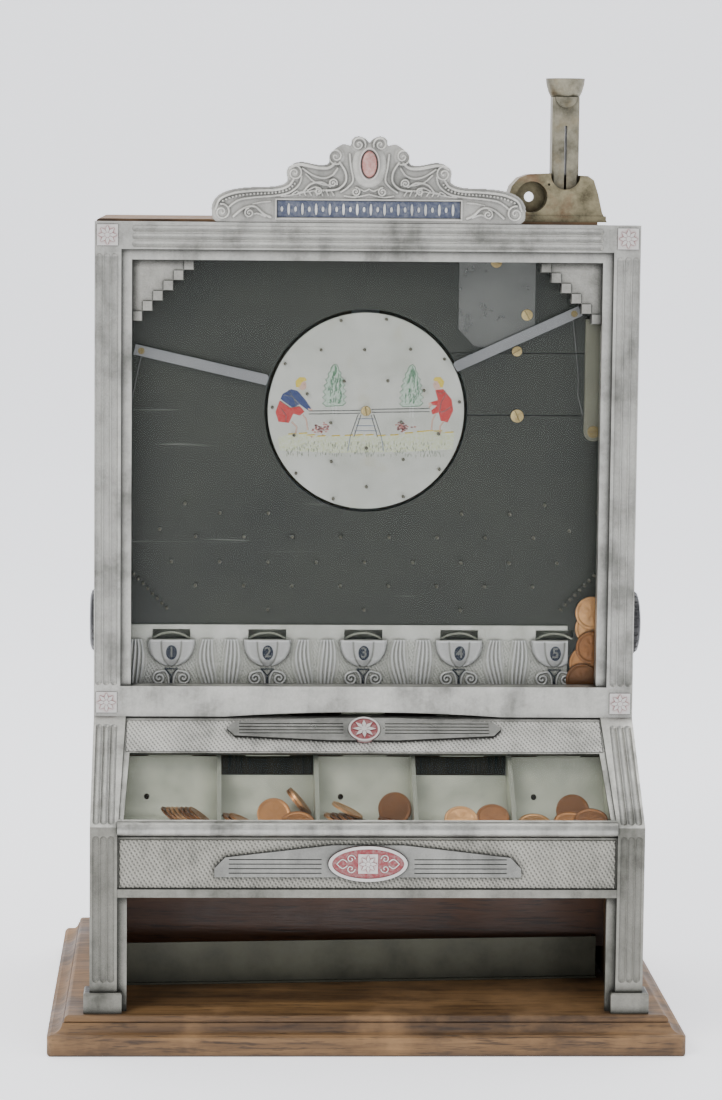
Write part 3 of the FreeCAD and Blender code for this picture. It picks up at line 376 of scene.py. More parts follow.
def cast_metal(name, light, dark, painted_relief_light=False, metallic=0.55, low=0.36, high=0.62, pits=0.35):
    """Worn cast aluminium, mottled and sandy, with painted shade in its corners and grooves; on reliefs the
    ridges and high spots also get a painted highlight and the creases and low ground painted shade.
    """
    m = Nodes(name, metallic=metallic)
    clouds = m.noise(38, 6, 0.62)
    grain = m.noise(900, 3, 0.7)
    streaks = m.noise(60, 4, 0.6, m.stretch(1, 1, 0.16))
    base = m.ramp(m.math("ADD", m.math("MULTIPLY", clouds, 0.6), m.math("MULTIPLY", streaks, 0.4)),
                  [(0.36, dark), (0.5, light), (0.64, tuple(min(1, c * 1.3) for c in light))])
    base = m.mix(0.22, base, m.ramp(grain, [(0.3, (0.25, 0.25, 0.24)), (0.7, (1, 1, 1))]), "MULTIPLY")
    # painted shade: corners and grooves are darkened by ambient occlusion
    corners = m.hollow_dark(0.005)
    base = m.mix(m.span(corners, 0.66, 0.965, 0.95, 0.0), base, tuple(c * 0.3 for c in dark))
    # painted light and shade: the tone attribute darkens creases and low ground and brightens ridges and high
    # spots
    if painted_relief_light:
        tone = m.new("ShaderNodeAttribute", attribute_name="tone").outputs["Fac"]
        base = m.mix(m.span(tone, 0.0, 0.5, 0.8, 0.0), base, tuple(c * 0.3 for c in dark))
        base = m.mix(m.span(tone, 0.5, 1.0, 0.0, 0.5), base, tuple(min(1, c * 1.45) for c in light))
    m.colour(base)
    m.rough(m.span(m.noise(150, 4, 0.6), 0.3, 0.7, low, high))
    sand = m.math("ADD", m.math("MULTIPLY", grain, 0.5), m.noise(260, 4, 0.6))
    m.bump(sand, min(pits, 1.0), 0.0003 * max(pits, 1.0))
    return m.material


def wood(name, light, dark, grain_scale, worn=0.5, rough=0.55, along="X"):
    """Old stained oak: long grain, dark pores and paler rubbed patches."""
    m = Nodes(name)
    size = {"X": (0.07, 1, 1), "Z": (1, 1, 0.07)}[along]
    grain = m.noise(grain_scale, 7, 0.68, m.stretch(*size), 0.4)
    pores = m.noise(grain_scale * 7, 3, 0.8, m.stretch(*size))
    rubbing = m.noise(14, 5, 0.6)
    base = m.ramp(grain, [(0.3, dark), (0.52, tuple((a + b) / 2 for a, b in zip(light, dark))), (0.7, light)])
    base = m.mix(m.span(pores, 0.36, 0.48, 0.75, 0.0), base, tuple(c * 0.35 for c in dark))
    stains = m.noise(22, 6, 0.7, m.stretch(*(0.5 if c < 1 else c for c in size)))
    base = m.mix(m.span(stains, 0.52, 0.68, 0.0, 0.7), base, tuple(c * 0.6 for c in dark))
    rubbed = tuple(min(1, c * 1.5 + 0.03) for c in light)
    base = m.mix(m.span(rubbing, 0.5, 0.72, 0.0, worn), base, rubbed)
    # painted shade: corners and gaps between the boards are darkened by ambient occlusion
    base = m.mix(m.span(m.hollow_dark(0.006), 0.3, 0.95, 0.8, 0.0), base, tuple(c * 0.3 for c in dark))
    m.colour(base)
    m.rough(m.span(rubbing, 0.3, 0.7, rough - 0.12, rough + 0.18))
    m.bump(m.math("ADD", grain, m.math("MULTIPLY", pores, 0.8)), 0.5, 0.0005)
    return m.material


ALU = cast_metal("cast_aluminium", (0.445, 0.44, 0.405), (0.195, 0.195, 0.175), metallic=0.8, low=0.3,
                 high=0.55)
ALU_BRIGHT = cast_metal("rubbed_metal", (0.66, 0.655, 0.62), (0.44, 0.44, 0.41))
ALU_STIPPLED = cast_metal("stippled_metal", (0.31, 0.305, 0.275), (0.12, 0.12, 0.105), metallic=0.6, pits=1.6)
ALU_LOW = cast_metal("cast_leg", (0.25, 0.245, 0.215), (0.11, 0.11, 0.093), metallic=0.7)
ALU_BAR = cast_metal("smooth_bar", (0.24, 0.24, 0.222), (0.13, 0.13, 0.12), metallic=0.8, low=0.26, high=0.44)
# the three relief metals below carry painted highlights and painted shade from the relief's tone attribute
ALU_RELIEF = cast_metal("cast_relief", (0.52, 0.51, 0.47), (0.27, 0.27, 0.245), painted_relief_light=True)
ALU_SCALES = cast_metal("scaled_metal", (0.32, 0.31, 0.27), (0.15, 0.15, 0.128), painted_relief_light=True)
STRIP_METAL = cast_metal("bright_relief", (0.80, 0.81, 0.72), (0.58, 0.59, 0.51), painted_relief_light=True, metallic=0.35)
OAK = wood("oak", (0.29, 0.16, 0.062), (0.05, 0.023, 0.008), 70)
OAK_SIDE = wood("oak_upright", (0.21, 0.11, 0.045), (0.05, 0.024, 0.009), 70, worn=0.22, along="Z")
CAVITY_WOOD = wood("stained_board", (0.10, 0.036, 0.009), (0.036, 0.012, 0.003), 50, worn=0.1, rough=0.4)


def painted_board():
    """Dark grey-green paint with scuffs, fine scratches and dust."""
    m = Nodes("board_paint")
    clouds = m.noise(9, 6, 0.65)
    base = m.ramp(clouds, [(0.36, (0.012, 0.014, 0.0095)), (0.64, (0.026, 0.029, 0.020))])
    scratch = m.noise(220, 2, 0.5, m.stretch(0.05, 1, 1.6, (0, 32, 0)), 0.6)
    other = m.noise(260, 2, 0.5, m.stretch(0.07, 1, 1.3, (0, -50, 0)), 0.5)
    marks = m.math("MAXIMUM", m.span(scratch, 0.69, 0.73), m.span(other, 0.7, 0.74))
    marks = m.math("MULTIPLY", marks, m.span(m.noise(12, 3, 0.5), 0.5, 0.65))
    base = m.mix(m.math("MULTIPLY", marks, 0.28), base, (0.3, 0.31, 0.28))
    base = m.mix(m.span(m.noise(420, 3, 0.7), 0.62, 0.72, 0.0, 0.2), base, (0.10, 0.105, 0.085))
    m.colour(base)
    m.rough(m.span(clouds, 0.3, 0.7, 0.42, 0.6))
    m.bump(m.noise(350, 4, 0.6), 0.02, 0.0002)
    return m.material


def disc_paint():
    """Cream paint with yellowed spots."""
    m = Nodes("disc_face", metallic=0.15)
    clouds = m.noise(26, 6, 0.6)
    base = m.ramp(clouds, [(0.3, (0.40, 0.415, 0.36)), (0.55, (0.50, 0.51, 0.46)),
                           (0.75, (0.57, 0.58, 0.54))])
    spots = m.noise(60, 3, 0.5)
    base = m.mix(m.span(spots, 0.62, 0.76, 0.0, 0.4), base, (0.42, 0.40, 0.27))
    m.colour(base)
    m.rough(m.span(clouds, 0.3, 0.7, 0.36, 0.55))
    m.bump(m.noise(500, 3, 0.6), 0.12, 0.0002)
    return m.material


def paint(name, colour, cover=0.75, under=(0.55, 0.56, 0.53)):
    """Hand-laid paint, thin in places."""
    m = Nodes(name, roughness=0.5)
    thin = m.span(m.noise(900, 4, 0.7), 0.35, 0.62, cover, 1.0)
    m.colour(m.mix(thin, under, colour))
    return m.material


def brass(name, light, dark, stain, rough=(0.3, 0.55)):
    """Cloudy worn brass, stained in patches, with painted shade in its corners."""
    m = Nodes(name, metallic=0.75)
    clouds = m.noise(120, 6, 0.65)
    base = m.ramp(clouds, [(0.32, dark), (0.6, light), (0.8, tuple(min(1, c * 1.3) for c in light))])
    base = m.mix(m.span(m.noise(70, 5, 0.6), 0.52, 0.7, 0.0, 0.55), base, stain)
    # painted shade: corners are darkened by ambient occlusion
    base = m.mix(m.span(m.hollow_dark(0.004), 0.3, 0.95, 0.75, 0.0), base, tuple(c * 0.3 for c in dark))
    m.colour(base)
    m.rough(m.span(clouds, 0.3, 0.7, *rough))
    m.bump(m.noise(420, 4, 0.65), 0.3, 0.0002)
    return m.material


def copper():
    """Worn coins: each one has its own brown or bright copper tone."""
    m = Nodes("coin_copper", metallic=0.8)
    each = m.new("ShaderNodeNewGeometry").outputs["Random Per Island"]
    base = m.ramp(each, [(0.0, (0.17, 0.075, 0.03)), (0.35, (0.32, 0.14, 0.052)), (0.7, (0.48, 0.22, 0.08)),
                         (0.92, (0.66, 0.36, 0.15))])
    base = m.mix(m.span(m.noise(150, 4, 0.6), 0.42, 0.66, 0.0, 0.35), base, (0.16, 0.08, 0.04))
    # painted shade: narrow hollows such as the coins' rims and the gaps between stacked coins are darkened by
    # ambient occlusion
    base = m.mix(m.span(m.hollow_dark(0.0012), 0.45, 0.95, 0.9, 0.0), base, (0.05, 0.025, 0.012))
    m.colour(base)
    m.rough(m.span(m.noise(300, 4, 0.6), 0.3, 0.7, 0.3, 0.5))
    m.bump(m.noise(900, 3, 0.6), 0.08, 0.0001)
    return m.material


def sheet(name, light, dark, metallic=0.35, rough=(0.35, 0.6)):
    """Plain sheet, wire or plastic with soft clouds and painted shade in its corners."""
    m = Nodes(name, metallic=metallic)
    clouds = m.noise(45, 6, 0.6)
    base = m.ramp(clouds, [(0.3, dark), (0.65, light)])
    # painted shade: corners are darkened by ambient occlusion
    base = m.mix(m.span(m.hollow_dark(0.012), 0.2, 0.95, 0.7, 0.0), base, tuple(c * 0.35 for c in dark))
    m.colour(base)
    m.rough(m.span(m.noise(90, 4, 0.6), 0.3, 0.7, *rough))
    m.bump(m.noise(240, 3, 0.6), 0.15, 0.0003)
    return m.material


def enamel(name, colour, ground, spread=0.6):
    """Faded colour that stays in the hollows of a casting and is rubbed off its high spots."""
    m = Nodes(name, metallic=0.45, roughness=0.48)
    hollow = m.span(m.hollow_dark(0.0022), 0.55, 0.98, 1.0, 1.0 - spread)
    worn = m.span(m.noise(520, 5, 0.7), 0.66, 0.4, 0.45, 1.0)
    base = m.mix(m.math("MULTIPLY", hollow, worn), ground, colour)
    # painted shade: the finest creases are darkened by ambient occlusion on top of the enamel kept in the
    # hollows
    m.colour(m.mix(m.span(m.hollow_dark(0.001), 0.3, 0.9, 0.6, 0.0), base, tuple(c * 0.4 for c in colour)))
    m.bump(m.noise(600, 3, 0.6), 0.25, 0.0002)
    return m.material


def glass():
    m = Nodes("clear_glass", roughness=0.03)
    m.shader.inputs["Base Color"].default_value = (0.03, 0.04, 0.035, 1)
    m.shader.inputs["Alpha"].default_value = 0.08
    m.shader.inputs["IOR"].default_value = 1.45
    return m.material


BOARD = painted_board()
DISC = disc_paint()
BRASS_HEAD = brass("head_brass", (0.27, 0.235, 0.145), (0.085, 0.073, 0.042), (0.19, 0.085, 0.045))
BRASS_STEM = brass("stem_brass", (0.27, 0.25, 0.185), (0.11, 0.10, 0.07), (0.24, 0.18, 0.09))
BRASS_NEW = brass("screw_brass", (0.62, 0.50, 0.24), (0.34, 0.26, 0.11), (0.25, 0.16, 0.08))
COPPER = copper()
ZINC = sheet("zinc_sheet", (0.68, 0.70, 0.56), (0.44, 0.46, 0.36))
RAIL = sheet("rail_sheet", (0.46, 0.46, 0.34), (0.30, 0.30, 0.22), metallic=0.6)
CHUTE = sheet("chute_sheet", (0.34, 0.345, 0.32), (0.21, 0.215, 0.20), metallic=0.75, rough=(0.25, 0.42))
NAIL = sheet("nail_steel", (0.36, 0.35, 0.28), (0.22, 0.21, 0.16), metallic=0.7)
BRIGHT_SHEET = sheet("bright_sheet", (0.55, 0.56, 0.56), (0.40, 0.41, 0.41), metallic=0.6, rough=(0.28, 0.45))
GREY_SHEET = sheet("grey_sheet", (0.125, 0.125, 0.09), (0.06, 0.06, 0.043))
STEEL = sheet("plain_steel", (0.42, 0.42, 0.41), (0.22, 0.22, 0.215), metallic=0.8)
BLACK = sheet("black_knob", (0.028, 0.028, 0.03), (0.014, 0.014, 0.015), metallic=0.0, rough=(0.22, 0.4))
RED = enamel("faded_red", (0.26, 0.026, 0.036), (0.36, 0.30, 0.28), 0.1)
PINK = enamel("rubbed_red", (0.36, 0.10, 0.10), (0.56, 0.555, 0.53), 0.95)
GEM = enamel("rubbed_gem", (0.40, 0.15, 0.13), (0.56, 0.44, 0.40), 0.2)
GLASS = glass()

NODE_MATERIALS = {
    OAK: ["wood_base", "top_panel", "back_rails", "cash_drawer", "board_blocks"],
    OAK_SIDE: ["side_panel_left", "side_panel_right", "back_door"],
    CAVITY_WOOD: ["cavity_board"],
    ALU_STIPPLED: ["corner_brackets"],
    ALU: ["window_frame", "sloped_frame", "crest", "cup_strip", "number_cups"],
    ALU_LOW: ["apron", "column_left", "column_right"],
    ALU_BAR: ["reeded_bars"],
    PINK: ["corner_rosettes", "medallions"],
    BRASS_HEAD: ["coin_head"],
    BRASS_STEM: ["plunger_stem", "thumb_cup"],
    BRASS_NEW: ["disc_hub", "hinge_leaves_fixed", "hinge_leaves_door", "rod_bushes", "lock_barrel",
                "lock_plug", "drawer_pull", "board_screws", "pivot_pins"],
    STEEL: ["disc_weight", "disc_bridge", "arm_springs", "plunger_spring", "payout_rod", "payout_fingers",
            "lock_strike", "glass_clips"],
    NAIL: ["playfield_pins", "disc_pins"],
    RAIL: ["coin_rail"],
    CHUTE: ["chute_plate"],
    ZINC: ["tray_floor", "compartment_dividers", "compartment_backs", "coin_troughs"],
    BRIGHT_SHEET: ["arm_left", "arm_right"],
    GREY_SHEET: ["cavity_plate"],
    BOARD: ["playfield_board", "access_panel"],
    DISC: ["disc"],
    BLACK: ["payout_knobs"],
    COPPER: ["channel_coins", "compartment_coins"],
    GLASS: ["window_glass", "sloped_glass"],
}
for material, names in NODE_MATERIALS.items():
    for node_name in names:
        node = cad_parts[node_name]
        node.data.materials.clear()
        node.data.materials.append(material)


# ---- crest ------------------------------------------------------------------
CREST_HALF = [
    (86.5, 462.5), (89.0, 465.0), (89.2, 472.5), (85.0, 478.3), (76.8, 481.4), (65.8, 482.6), (53.2, 483.2),
    (46.6, 486.0), (47.0, 491.0), (45.0, 494.6), (38.9, 497.1), (28.7, 495.4), (23.0, 496.4),
    (22.6, 501.0), (19.8, 504.2), (15.0, 507.2), (10.6, 506.6), (9.8, 510.0), (6.4, 511.8), (2.6, 510.6),
    (0.0, 508.3),
]
PLATE = 0.9
GEM_Z = 496.0
PANEL_HALF = 52.4
PANEL_LOW = 465.2
PANEL_TOP = 475.4


def crest_outline():
    shoulder = CREST_HALF[1:]
    right = [tuple(p) for p in smooth_line(shoulder, 4)]
    right = [CREST_HALF[0]] + right
    return right + [(-x, z) for x, z in reversed(right)]


def crest_height(X, Z):
    """Scrolls, leaves and beads in front of the crest's plate, the same on both sides."""
    A = np.abs(X)
    edge = inside_distance(X, Z, crest_outline())
    h = PLATE * np.clip(edge / 1.1, 0, 1) ** 0.6
    cords = [
        ([(87, 470), (84.6, 475.6), (77, 479), (66, 480.4), (53, 481.0), (46, 483.2), (43.0, 487.0)],
         0.8, 1.0),
        ([(80.0, 471.0), (74, 475.2), (65, 476.8), (54, 477.8), (45.5, 479.6), (40.0, 484.0), (38.4, 489.0)],
         0.7, 0.9),
        ([(45, 493.4), (39.5, 495.4), (29, 493.6), (23, 493.8), (19.4, 496.6)], 1.0, 1.1),
        ([(38, 493.4), (32, 489.5), (26, 488.0), (21, 489.6), (18.0, 493.6)], 0.7, 0.8),
        ([(36, 490.0), (31, 485.8), (24, 484.0), (19.5, 486.0)], 0.6, 0.8),
        ([(17.0, 497.0), (13.6, 491.6), (13.4, 486.0), (17.6, 482.0), (24.0, 481.0)], 0.8, 1.2),
        ([(11.2, 501.5), (10.4, 494.0), (9.2, 487.0), (12.0, 483.0), (16.0, 480.2)], 0.7, 1.0),
        ([(22, 483.0), (27, 485.6), (33, 484.6), (37, 480.6)], 0.7, 0.9),
        ([(26, 480.6), (30, 483.0), (35, 481.0)], 0.6, 0.8),
        ([(36, 480.0), (42, 478.6), (50, 477.4)], 0.5, 0.6),
        ([(6.0, 482.4), (2.8, 480.8), (0, 482.0)], 0.6, 0.8),
        ([(14.0, 478.0), (8.0, 477.4), (0, 479.0)], 0.6, 0.8),
        ([(77, 466.0), (71, 470.6), (65, 471.6), (60, 467.6), (56, 465.6)], 0.8, 0.9),
        ([(69, 465.4), (64, 467.8), (59, 466.0)], 0.6, 0.7),
        ([(56, 474.6), (61, 474.2), (66, 473.0)], 0.5, 0.6),
    ]
    for points, width, tall in cords:
        h = np.maximum(h, PLATE + ridge(A, Z, smooth_line(points), width, tall))
    volutes = [(42.4, 490.8, 4.2, 60, 1), (19.0, 500.4, 4.4, 250, 1), (6.2, 507.2, 3.8, 200, -1),
               (83.6, 468.4, 4.4, 80, 1), (68.0, 468.0, 2.4, 80, -1), (7.6, 480.4, 2.2, 90, 1),
               (20.6, 485.2, 2.2, 200, -1), (29.0, 480.6, 1.8, 60, 1)]
    for cx, cz, r, start, way in volutes:
        disc = np.clip(1 - np.hypot(A - cx, Z - cz) / (r + 0.8), 0, 1)
        h = np.maximum(h, PLATE + 0.9 * disc ** 0.5)
        h = np.maximum(h, 1.0 + ridge(A, Z, spiral(cx, cz, r, 1.6, start, way), 0.62, 1.3))
    rail = smooth_line([(84, 474.2), (76.5, 477.2), (66, 478.7), (53.5, 479.5), (45.6, 481.6),
                        (41.4, 486.0)], 8)
    steps = np.cumsum(np.r_[0, np.hypot(*np.diff(rail, axis=0).T)])
    for s in np.arange(1.0, steps[-1], 2.05):
        bx, bz = np.interp(s, steps, rail[:, 0]), np.interp(s, steps, rail[:, 1])
        bead = np.clip(1 - ((A - bx) ** 2 + (Z - bz) ** 2) / 0.78 ** 2, 0, 1)
        h = np.maximum(h, PLATE + 0.9 * np.sqrt(bead))
    shield = np.clip(1 - (A / 10.2) ** 2 - ((Z - 495.0) / 12.5) ** 2, 0, 1)
    h = np.maximum(h, PLATE + 1.3 * np.sqrt(shield))
    ring = np.hypot(A / 5.4, (Z - GEM_Z) / 8.8)
    h = h + 0.9 * np.exp(-((ring - 1.0) / 0.09) ** 2) - 0.5 * np.exp(-((ring - 0.84) / 0.06) ** 2)
    gem = np.clip(1 - (A / 4.3) ** 2 - ((Z - GEM_Z) / 7.4) ** 2, 0, 1)
    h = np.maximum(h, 1.7 + 1.9 * np.sqrt(gem) - 3.0 * (gem <= 0))
    for k in range(7):
        x0 = 20 + 3.2 * k
        leaf = smooth_line([(x0, 478.2), (x0 + 1.6, 480.6 + 0.5 * math.sin(k)), (x0 + 4.4, 481.6 - 0.45 * k)])
        h = np.maximum(h, PLATE + ridge(A, Z, leaf, 0.55, 0.8))
    panel = np.minimum(PANEL_HALF - A, np.minimum(Z - PANEL_LOW, PANEL_TOP - Z))
    frame_line = PLATE + 0.8 * np.exp(-((panel + 0.5) / 0.45) ** 2)
    h = np.where(panel > -1.2, np.maximum(frame_line, np.where(panel > 0, -0.8, PLATE)), h)
    h = np.where(panel > 0.2, -1.0 + 0.25 * np.sin(2.3 * X) * np.sin(2.9 * Z + 0.4 * X), h)
    return h


def build_crest():
    """The crest's casting with its lettering-free panel, reeds, cabochon and ring."""
    outline = crest_outline()
    y = CREST_LO.y + 3.0
    piece = relief("crest_casting", (-89.6, 89.6), (462.5, 512.3), 0.36, crest_height,
                   lambda x, z: inside_distance(x, z, outline) > 0, upright(y),
                   CREST_HI.y - CREST_LO.y - 6.0, (0.7, 2.3))
    finish_piece(piece, ALU_RELIEF, "case", ["crest"])
    ground = enamel("blue_grey_ground", (0.055, 0.07, 0.12), (0.26, 0.27, 0.30), 0.1)
    patches("crest_panel_ground", [[(-52.0, 465.6), (52.0, 465.6), (52.0, 475.0), (-52.0, 475.0)]],
            y + 0.72, y + 1.6, ground, "case")
    marks = []
    for k in range(26):
        x = -49.5 + 3.9 * k
        tall = 3.4 if k % 2 else 1.5
        marks.append(ellipse(x, 470.3, 0.75, tall, 12))
    patches("crest_panel_reeds", marks, y + 0.1, y + 1.2, ALU_BRIGHT, "case")
    gem = relief("crest_gem", (-4.4, 4.4), (488.2, 503.8), 0.25,
                 lambda x, z: 2.0 * np.sqrt(np.clip(1 - (x / 4.4) ** 2 - ((z - GEM_Z) / 7.6) ** 2, 0, 1)),
                 lambda x, z: (x / 4.3) ** 2 + ((z - GEM_Z) / 7.5) ** 2 < 1, upright(y - 1.8), 1.0, (0, 1))
    finish_piece(gem, GEM, "case")
    ring = [(5.5 * math.cos(t), GEM_Z + 8.9 * math.sin(t)) for t in np.linspace(0, 2 * math.pi, 49)]
    lines_piece("crest_red_ring", [ring], 0.45, y - 2.55, PINK, "case")


build_crest()


# ---- scale pattern on the apron and the header -------------------------------
def build_weaves():
    """Lapped scales behind the bars of the apron and the header."""
    edge = 1.2
    lo = (-APRON_HI.x + edge, APRON_LO.z + 5.2)
    hi = (APRON_HI.x - edge, APRON_HI.z - 1.4)
    piece = relief("apron_scales", (lo[0], hi[0]), (lo[1], hi[1]), 0.5, lambda x, z: weave(x, z, 2.5, 0.5),
                   everywhere, upright(LEG_FRONT + 1.55), 0.5, (0.05, 0.5))
    finish_piece(piece, ALU_SCALES, "case")
    piece = relief("header_scales", (-136.6, 136.6), (-25.8, -2.6), 0.5,
                   lambda x, v: weave(x, v, 2.5, 0.5) - 1.0, everywhere, sloping, 1.5, (-0.95, -0.5))
    finish_piece(piece, ALU_RELIEF, "case")


build_weaves()


MEDAL_Z = 106.2


def build_medallions():
    """Red grounds for the two medallions, and small scrolls on the lower one."""
    ground = LEG_FRONT - 0.9
    patches("apron_red_ground", [ellipse(0, MEDAL_Z, 20.0, 8.2, 60)], ground - 0.1, ground + 0.1, RED,
            "case")
    patches("header_red_ground", [ellipse(0, -10.0, 7.8, 7.8, 40)], 0.68, 0.5, RED, "case",
            sloping)
    strokes = []
    for side in (-1, 1):
        for up in (-1, 1):
            curl = spiral(9.6, 109.0, 2.2, 1.2, 180, -1)
            strokes.append([(side * x, MEDAL_Z + up * (z - MEDAL_Z)) for x, z in curl])
            strokes.append(smooth_line([(side * 11.6, MEDAL_Z + up * 1.0), (side * 14.4, MEDAL_Z + up * 2.6),
                                        (side * 17.6, MEDAL_Z)]))
    lines_piece("apron_medal_scrolls", strokes, 0.4, ground - 0.1, ALU_BRIGHT, "case")


build_medallions()


# ---- cup strip ---------------------------------------------------------------
CUP_PITCH = 55.9
CUP_X = [CUP_PITCH * (k - 2) + 0.4 for k in range(5)]
BAND_Z = 220.4
CUP_BOTTOM = 204.6
LEAF_OFFSET = 27.9
BADGE_Z = 213.2
BADGE_SHIFT = 0.2
SLOT_HALF = 11.0


def strip_height(X, Z):
    """Petalled bowls with volutes below them, and leaves between them, on a scaled ground."""
    h = weave(X, Z, 2.0, 0.55)
    for cx in CUP_X:
        for side in (-1, 1):
            vol = spiral(cx + side * 7.0, 197.6, 3.6, 1.7, 90, -side)
            h = np.maximum(h, ridge(X, Z, vol, 0.75, 1.3))
            sweep = smooth_line([(cx + side * 7.4, 201.3), (cx + side * 3.6, 201.8), (cx + side * 1.6, 198.0),
                                 (cx + side * 1.3, 193.0)])
            h = np.maximum(h, ridge(X, Z, sweep, 0.7, 1.0))
        t = np.clip((Z - CUP_BOTTOM) / (BAND_Z - CUP_BOTTOM), 0, 1)
        half = 13.6 * (1 - (1 - t) ** 2.4) ** 0.5
        u = np.clip((X - cx) / np.maximum(half, 0.01), -1, 1)
        petals = np.abs(np.cos(3.5 * np.arcsin(u))) ** 0.6
        scallop = CUP_BOTTOM + 1.5 * (1 - petals)
        bowl = (2.1 * np.sqrt(1 - 0.8 * u ** 2) + 1.5 * petals) * np.clip(3.2 * t, 0, 1) ** 0.5
        h = np.where((np.abs(X - cx) < half) & (Z > scallop) & (Z < BAND_Z), np.maximum(h, bowl), h)
    middles = [(a + b) / 2 for a, b in zip(CUP_X[:-1], CUP_X[1:])] + [CUP_X[0] - LEAF_OFFSET]
    for mx in middles:
        for side in (-1, 1):
            t = np.clip((Z - STRIP_LO.z) / (BAND_Z - STRIP_LO.z), 0, 1)
            mid = mx + side * (6.4 + 1.3 * np.sin(math.pi * (t - 0.15)))
            half = 6.6 * np.sin(math.pi * np.clip(0.2 + 0.66 * t, 0, 1)) ** 0.5
            u = (X - mid) / half
            strands = np.cos(2 * math.pi * (u * 2.6 + 0.5 * np.sin(2.6 * t + 0.4 * side)))
            leaf = 1.2 * np.sqrt(np.clip(1 - u ** 2, 0, 1)) + 0.35 * strands * (1 - u ** 2)
            h = np.where(np.abs(u) < 1, np.maximum(h * 0.3, leaf), h)
    return np.where(Z > BAND_Z, 0.15, h)


def build_strip():
    """The cast strip with its five cups, their badges and numbers, and the chalice lines."""
    def inside(x, z):
        clear = np.ones(x.shape, bool)
        for cx in CUP_X:
            clear &= ~((np.abs(x - cx) < SLOT_HALF) & (z > 220.5) & (z < 226.4))
        return clear

    piece = relief("cup_strip_casting", (-140.0, STRIP_HI.x), (STRIP_LO.z, STRIP_HI.z), 0.3, strip_height,
                   inside, upright(STRIP_LO.y + 0.3), STRIP_HI.y - STRIP_LO.y - 0.3, (0.0, 1.3))
    finish_piece(piece, STRIP_METAL, "case", ["cup_strip", "number_cups"])
    dark = enamel("blue_black", (0.010, 0.015, 0.030), (0.06, 0.07, 0.09), 0.05)
    y = STRIP_LO.y - 3.55
    for number, cx in enumerate(CUP_X, 1):
        badge = ellipse(cx + BADGE_SHIFT, BADGE_Z, 3.2, 4.3)
        patches(f"cup_badge_{number}", [badge], y, y + 1.6, dark, "case")
        text = bpy.data.curves.new(f"cup_number_{number}", "FONT")
        text.body = str(number)
        text.size = 8.4 * MM
        text.extrude = 0.12 * MM
        text.offset = 0.12 * MM
        text.align_x = "CENTER"
        text.align_y = "CENTER"
        obj = bpy.data.objects.new(text.name, text)
        bpy.context.scene.collection.objects.link(obj)
        obj.location = ((cx + BADGE_SHIFT) * MM, (y - 0.1) * MM, BADGE_Z * MM)
        obj.rotation_euler = (math.pi / 2, 0, 0)
        finish_piece(obj, ALU_BRIGHT, "case")
    outlines = []
    for cx in CUP_X:
        outlines.append([(cx - 3.6, 203.2), (cx + 3.6, 203.2), (cx, 199.2), (cx - 3.6, 203.2)])
        outlines.append([(cx, 199.2), (cx, 193.8)])
    lines_piece("cup_chalices", outlines, 0.42, STRIP_LO.y - 0.5, dark, "case")


build_strip()


# ---- painted picture on the disc ----------------------------------------------
FACE_Y = DISC_LO.y


def on_disc(points):
    return [(DISC_X + x, DISC_Z + z) for x, z in points]


LEAF_GREEN = paint("leaf_green", (0.07, 0.20, 0.10), 0.8)
NAVY = paint("navy_blue", (0.012, 0.03, 0.13), 0.92)
SCARLET = paint("scarlet", (0.42, 0.014, 0.012), 0.9)
YELLOW = paint("straw_yellow", (0.56, 0.43, 0.03), 0.85)
DUSTY_PINK = paint("dusty_pink", (0.40, 0.13, 0.11), 0.8)
SKIN = paint("pale_skin", (0.52, 0.34, 0.26), 0.85)
OUTLINE = paint("outline_black", (0.05, 0.055, 0.05), 0.75)
CHALK = paint("chalk_white", (0.78, 0.79, 0.77), 0.8)
PALE_GRASS = paint("pale_grass", (0.46, 0.50, 0.30), 0.25)
SOIL = paint("grey_earth", (0.17, 0.20, 0.13), 0.7)
TREE_WASH = paint("tree_wash", (0.30, 0.42, 0.31), 0.35)
SLATE_BLUE = paint("slate_blue", (0.16, 0.20, 0.30), 0.6)
DARK_ROSE = paint("dark_rose", (0.20, 0.07, 0.07), 0.8)


def painted_area(name, outlines, colour, lift=0.06):
    """Flat paint on the disc, standing out by lift; its back lies inside the disc."""
    return patches(name, outlines, FACE_Y - lift, FACE_Y + 0.1, colour, "disc_rotor")


def brush_lines(name, lines, radius, colour, sink=0.0):
    """Thin brush strokes on the disc; sink moves their middle line towards the disc."""
    return lines_piece(name, lines, radius, FACE_Y - 0.06 + sink, colour, "disc_rotor", 1)


def build_trees():
    tree_x = (-18.2, 26.4)
    trees = []
    shades = []
    for cx in tree_x:
        rim = []
        for k in range(15):
            t = k / 14
            half = 0.8 + 6.0 * math.sin(math.pi * (1 - t) ** 0.9 * 0.62)
            rim.append((cx + half * (1.0 if k % 2 else 0.72), 3.0 + 24.0 * t))
        left = [(2 * cx - x - 0.4, z - 0.5) for x, z in reversed(rim)]
        trees.append(on_disc(rim + left + [rim[0]]))
        for k in range(60):
            t = RNG.random()
            half = 5.2 * math.sin(math.pi * (1 - t) ** 0.9 * 0.62)
            x = cx + half * (2 * RNG.random() - 1) * 0.8
            z = 4.0 + 20.0 * t
            shades.append(on_disc([(x, z), (x + 0.5, z + 1.3), (x + 0.2, z + 2.4)]))
    painted_area("picture_tree_fill", [tree[:-1] for tree in trees], TREE_WASH, 0.02)
    brush_lines("picture_tree_outline", trees, 0.2, LEAF_GREEN)
    brush_lines("picture_tree_leaves", shades, 0.22, LEAF_GREEN)
    trunks = [on_disc([(cx + d, 3.2), (cx + d * 0.9, -3.6)]) for cx in tree_x for d in (-0.9, 0.9)]
    brush_lines("picture_trunks", trunks, 0.14, CHALK)


